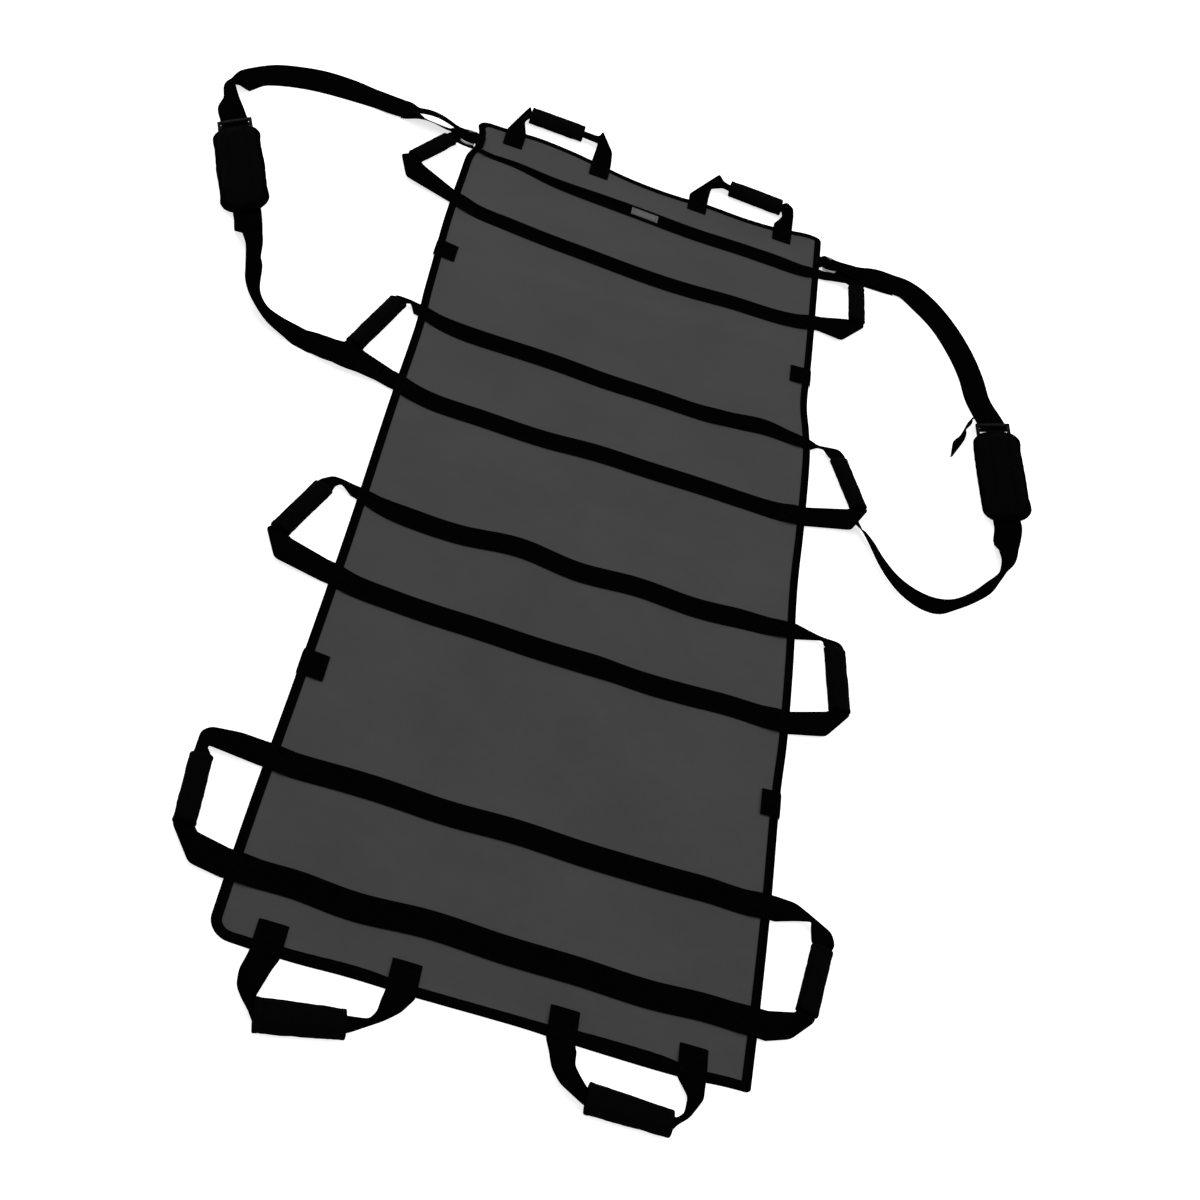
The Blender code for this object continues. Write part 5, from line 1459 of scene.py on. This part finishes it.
# The quilting draws the top down by this much, and over as much to each side of its stitches; these
# stop this far from the pad's ends, and the channels fade out between these distances from them
QUILT_LINES = (-0.0165, 0.0165)
QUILT_DEPTH = 0.0030
QUILT_END = 0.016
QUILT_FADE = (0.022, 0.012)
PUFF_HEIGHT = 0.0007


def pad_outline():
    """Points round the pad in its own frame, its long sides bowed out a little by the filling."""
    half_x, half_y = PAD_WIDTH / 2, PAD_LENGTH / 2
    points = []
    for sx, sy, start in ((1, 1, 0), (-1, 1, 90), (-1, -1, 180), (1, -1, 270)):
        for k in range(10):
            turn = math.radians(start + 90 * k / 9)
            x = sx * (half_x - PAD_CORNER) + PAD_CORNER * math.cos(turn)
            points.append((x, sy * (half_y - PAD_CORNER) + PAD_CORNER * math.sin(turn)))
        steps = 12 if sx != sy else 6
        for k in range(1, steps):
            t = k / steps
            if sx == sy:
                points.append(((half_x - PAD_CORNER) * sx * (1 - 2 * t), sy * half_y))
            else:
                bowed = PAD_BOWED_OUT * math.sin(math.pi * t)
                points.append((sx * (half_x + bowed), (half_y - PAD_CORNER) * sy * (1 - 2 * t)))
    row = np.array(points + points[:1])
    far = np.concatenate([[0], np.cumsum(np.linalg.norm(np.diff(row, axis=0), axis=1))])
    even = np.linspace(0, far[-1], RIM + 1)[:-1]
    return np.stack([np.interp(even, far, row[:, 0]), np.interp(even, far, row[:, 1])], 1)


def swollen(mesh, cap=0.005):
    """The pad's cloth filled by its foam: remeshed and blown up, no point moved past the cap."""
    pad = linked("pad_in_the_making", mesh)
    bpy.context.view_layer.objects.active = pad
    remesh = pad.modifiers.new("remesh", "REMESH")
    remesh.mode = "VOXEL"
    remesh.voxel_size = PAD_CELL
    plain = as_modified(pad)
    pad.modifiers.clear()
    pad.data = plain
    before = np.array([v.co for v in plain.vertices])
    filling = pad.modifiers.new("filling", "CLOTH").settings
    filling.effector_weights.gravity = 0.0
    filling.use_pressure = True
    filling.uniform_pressure_force = PAD_PRESSURE
    for frame_number in range(1, PAD_FRAMES + 1):
        bpy.context.scene.frame_set(frame_number)
    graph = bpy.context.evaluated_depsgraph_get()
    after = np.array([v.co for v in pad.evaluated_get(graph).data.vertices])
    moved = after - before
    far = np.linalg.norm(moved, axis=1, keepdims=True)
    after = before + moved * np.minimum(1.0, cap / np.maximum(far, 1e-9))
    pad.modifiers.clear()
    plain.vertices.foreach_set("co", after.astype(np.float32).ravel())
    bpy.context.scene.frame_set(1)
    bpy.data.objects.remove(pad, do_unlink=True)
    return plain


def finely_divided(mesh):
    """The same mesh with each of its faces divided in four and smoothed."""
    pad = linked("pad_divided", mesh)
    smoother = pad.modifiers.new("smooth", "SUBSURF")
    smoother.levels = smoother.render_levels = 1
    plain = as_modified(pad)
    bpy.data.objects.remove(pad, do_unlink=True)
    return plain


for side in SIGNS:
    place = pad_place(side)
    rest_z = WEB_THICKNESS + CLEAR
    outline = pad_outline()
    outline[:, 0] *= PAD_SHOWN[side] / 2 / outline[:, 0].max()
    rings = []
    for share, height in PAD_PROFILE:
        inset_by = PAD_WIDTH / 2 * (1 - share)
        lengthwise = 1 - inset_by / (PAD_LENGTH / 2)
        z = rest_z + PAD_THICKNESS * (0.02 + 0.93 * height)
        rings.append([(x * share, y * lengthwise, z) for x, y in outline])
    faces = [
        (i * RIM + k, i * RIM + (k + 1) % RIM, (i + 1) * RIM + (k + 1) % RIM, (i + 1) * RIM + k)
        for i in range(len(rings) - 1)
        for k in range(RIM)
    ]
    mesh = bpy.data.meshes.new(f"shoulder_cushion_{side}")
    mesh.from_pydata([p for ring in rings for p in ring], [], faces)
    work = bmesh.new()
    work.from_mesh(mesh)
    for index in (0, len(rings) - 1):
        work.verts.ensure_lookup_table()
        row = work.verts[index * RIM : (index + 1) * RIM]
        work.faces.new(row if index else row[::-1])
    bmesh.ops.recalc_face_normals(work, faces=work.faces)
    work.to_mesh(mesh)
    work.free()
    mesh = swollen(mesh)
    mesh = finely_divided(mesh)
    mesh.name = f"shoulder_cushion_{side}"
    points = np.array([v.co for v in mesh.vertices])
    points[:, 0] *= PAD_SHOWN[side] / 2 / np.abs(points[:, 0]).max()
    points[:, 1] *= PAD_LENGTH / 2 / np.abs(points[:, 1]).max()
    ends = 1 - ease(np.abs(points[:, 1]), *[PAD_LENGTH / 2 - inset_by for inset_by in QUILT_FADE])
    for quilt_x in QUILT_LINES:
        sunk = QUILT_DEPTH * np.exp(-(((points[:, 0] - quilt_x) / QUILT_DEPTH) ** 2)) * ends
        points[:, 2] -= np.where(points[:, 2] > rest_z + PAD_THICKNESS * 0.6, sunk, 0.0)
    puffy = [noise.noise(Vector((p[0] * 28, p[1] * 28, 5.0 * SIGNS[side]))) for p in points]
    puffed = points[:, 2] > rest_z + PAD_THICKNESS * 0.5
    points[:, 2] += np.where(puffed, PUFF_HEIGHT * np.array(puffy), 0.0)
    points[:, 2] = np.maximum(points[:, 2], rest_z)
    mesh.vertices.foreach_set("co", points.astype(np.float32).ravel())
    while mesh.uv_layers:
        mesh.uv_layers.remove(mesh.uv_layers[0])
    layer = mesh.uv_layers.new(name="web")
    order = [loop.vertex_index for loop in mesh.loops]
    layer.data.foreach_set("uv", points[order][:, [1, 0]].astype(np.float32).ravel())
    cover = BVHTree.FromPolygons([tuple(p) for p in points], [tuple(f.vertices) for f in mesh.polygons])
    mesh.materials.clear()
    mesh.materials.append(pack_cloth)
    mesh.shade_smooth()
    mesh.transform(place)
    cushion = linked(f"shoulder_cushion_{side}", mesh)
    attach(cushion, f"{side}_strap")
    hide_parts(f"shoulder_pad_{side}")

    middle_z = rest_z + PAD_THICKNESS * 0.45
    rings, travel = [], [0.0]
    for k in range(RIM):
        ahead = outline[(k + 1) % RIM] - outline[k - 1]
        outwards = unit(np.array((ahead[1], -ahead[0], 0.0)))
        centre = np.array((*outline[k], middle_z)) - outwards * RIM_INSET
        outer, inner = [], []
        for angle in RIM_ANGLES:
            turn = math.radians(angle)
            heading = Vector(outwards * math.cos(turn) + np.array((0, 0, 1.0)) * math.sin(turn))
            hit = cover.ray_cast(Vector(centre), heading)[0]
            hit = hit if hit is not None else Vector(centre) + heading * 0.008
            proud = RIM_PROUD + PUCKER_HEIGHT * math.sin(1.7 * k)
            high = hit + heading * proud
            high.z = max(high.z, PAD_RIM_CLEAR)
            outer.append(high)
            inner.append(hit - heading * RIM_SUNK)
        rings.append([place @ p for p in outer + inner[::-1]])
        if k:
            travel.append(travel[-1] + (rings[k][3] - rings[k - 1][3]).length)
    travel.append(travel[-1] + (rings[0][3] - rings[-1][3]).length)
    sides = len(rings[0])
    faces, uvs = [], []
    for i in range(RIM):
        for k in range(sides):
            after, above = (k + 1) % sides, (i + 1) % RIM
            faces.append((i * sides + k, i * sides + after, above * sides + after, above * sides + k))
            u0, u1, v0, v1 = travel[i], travel[i + 1], 0.0025 * k, 0.0025 * (k + 1)
            uvs += [(u0, v0), (u0, v1), (u1, v1), (u1, v0)]
    rim_tape = mesh_object(f"shoulder_rim_tape_{side}", [p for ring in rings for p in ring], faces, uvs)
    face_outward(rim_tape.data)
    rim_tape.data.shade_smooth()
    rim_tape.data.materials.append(binding_tape)
    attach(rim_tape, f"{side}_strap")
    lines = [[ring[6] for ring in rings] + [rings[0][6]]]
    for quilt_x in QUILT_LINES:
        line = []
        for y in np.linspace(QUILT_END - PAD_LENGTH / 2, PAD_LENGTH / 2 - QUILT_END, 60):
            hit = cover.ray_cast(Vector((quilt_x, y, 0.1)), Vector((0, 0, -1)))[0]
            line.append(place @ (hit + Vector((0, 0, 0.0002))))
        lines.append(line)
    sew(f"shoulder_stitches_{side}", lines, f"{side}_strap", pitch=SLEEVE_PITCH)

# Studio. A pale seamless floor under broad soft lamps. Floor and world shine only for the rays of the
# camera, of mirrors and of glass, so the background is white and no more light falls on the sheet.


def seen_rays(tree):
    """1 for a ray from the camera, a mirror or glass, and 0 for light on its way to a surface."""
    rays = add(tree, "ShaderNodeLightPath")
    seen = rays.outputs["Is Camera Ray"]
    for kind in ("Is Glossy Ray", "Is Transmission Ray"):
        seen = add(tree, "ShaderNodeMath", {0: seen, 1: rays.outputs[kind]}, operation="MAXIMUM").outputs[0]
    return seen


floor_finish, tree, shader = finish_named("pale_studio_floor", Roughness=0.9, Specular_IOR_Level=0.1)
shader.inputs["Base Color"].default_value = linear("#F4F4F4")
out = tree.nodes["Material Output"]
weight = add(tree, "ShaderNodeMath", {0: seen_rays(tree)}, operation="MULTIPLY", _1=0.7)
glow = add(tree, "ShaderNodeEmission", {"Strength": weight.outputs[0]})
both = add(tree, "ShaderNodeAddShader", {0: shader.outputs[0], 1: glow.outputs[0]})
tree.links.new(both.outputs[0], out.inputs["Surface"])
floor = mesh_object("studio_floor", [(-30, -30, 0), (30, -30, 0), (30, 30, 0), (-30, 30, 0)], [(0, 1, 2, 3)])
floor.data.materials.append(floor_finish)
world = bpy.data.worlds.new("studio")
bpy.context.scene.world = world
world.use_nodes = True
tree = world.node_tree
background = tree.nodes["Background"]
background.inputs["Color"].default_value = (1.0, 1.0, 1.0, 1.0)
level = add(tree, "ShaderNodeMapRange", {0: seen_rays(tree)}, _1=0.0, _2=1.0, _3=0.55, _4=1.0)
tree.links.new(level.outputs[0], background.inputs["Strength"])
for name, place, watts, width in (
    ("key_lamp", (-1.8, 1.6, 3.6), 62.0, 2.6),
    ("fill_lamp", (2.4, -1.2, 3.2), 34.0, 2.6),
):
    lamp_data = bpy.data.lights.new(name, "AREA")
    lamp_data.energy = watts
    lamp_data.size = width
    lamp = linked(name, lamp_data)
    lamp.location = place
    lamp.rotation_euler = (-Vector(place)).to_track_quat("-Z", "Y").to_euler()
bpy.context.scene.view_settings.view_transform = "Standard"
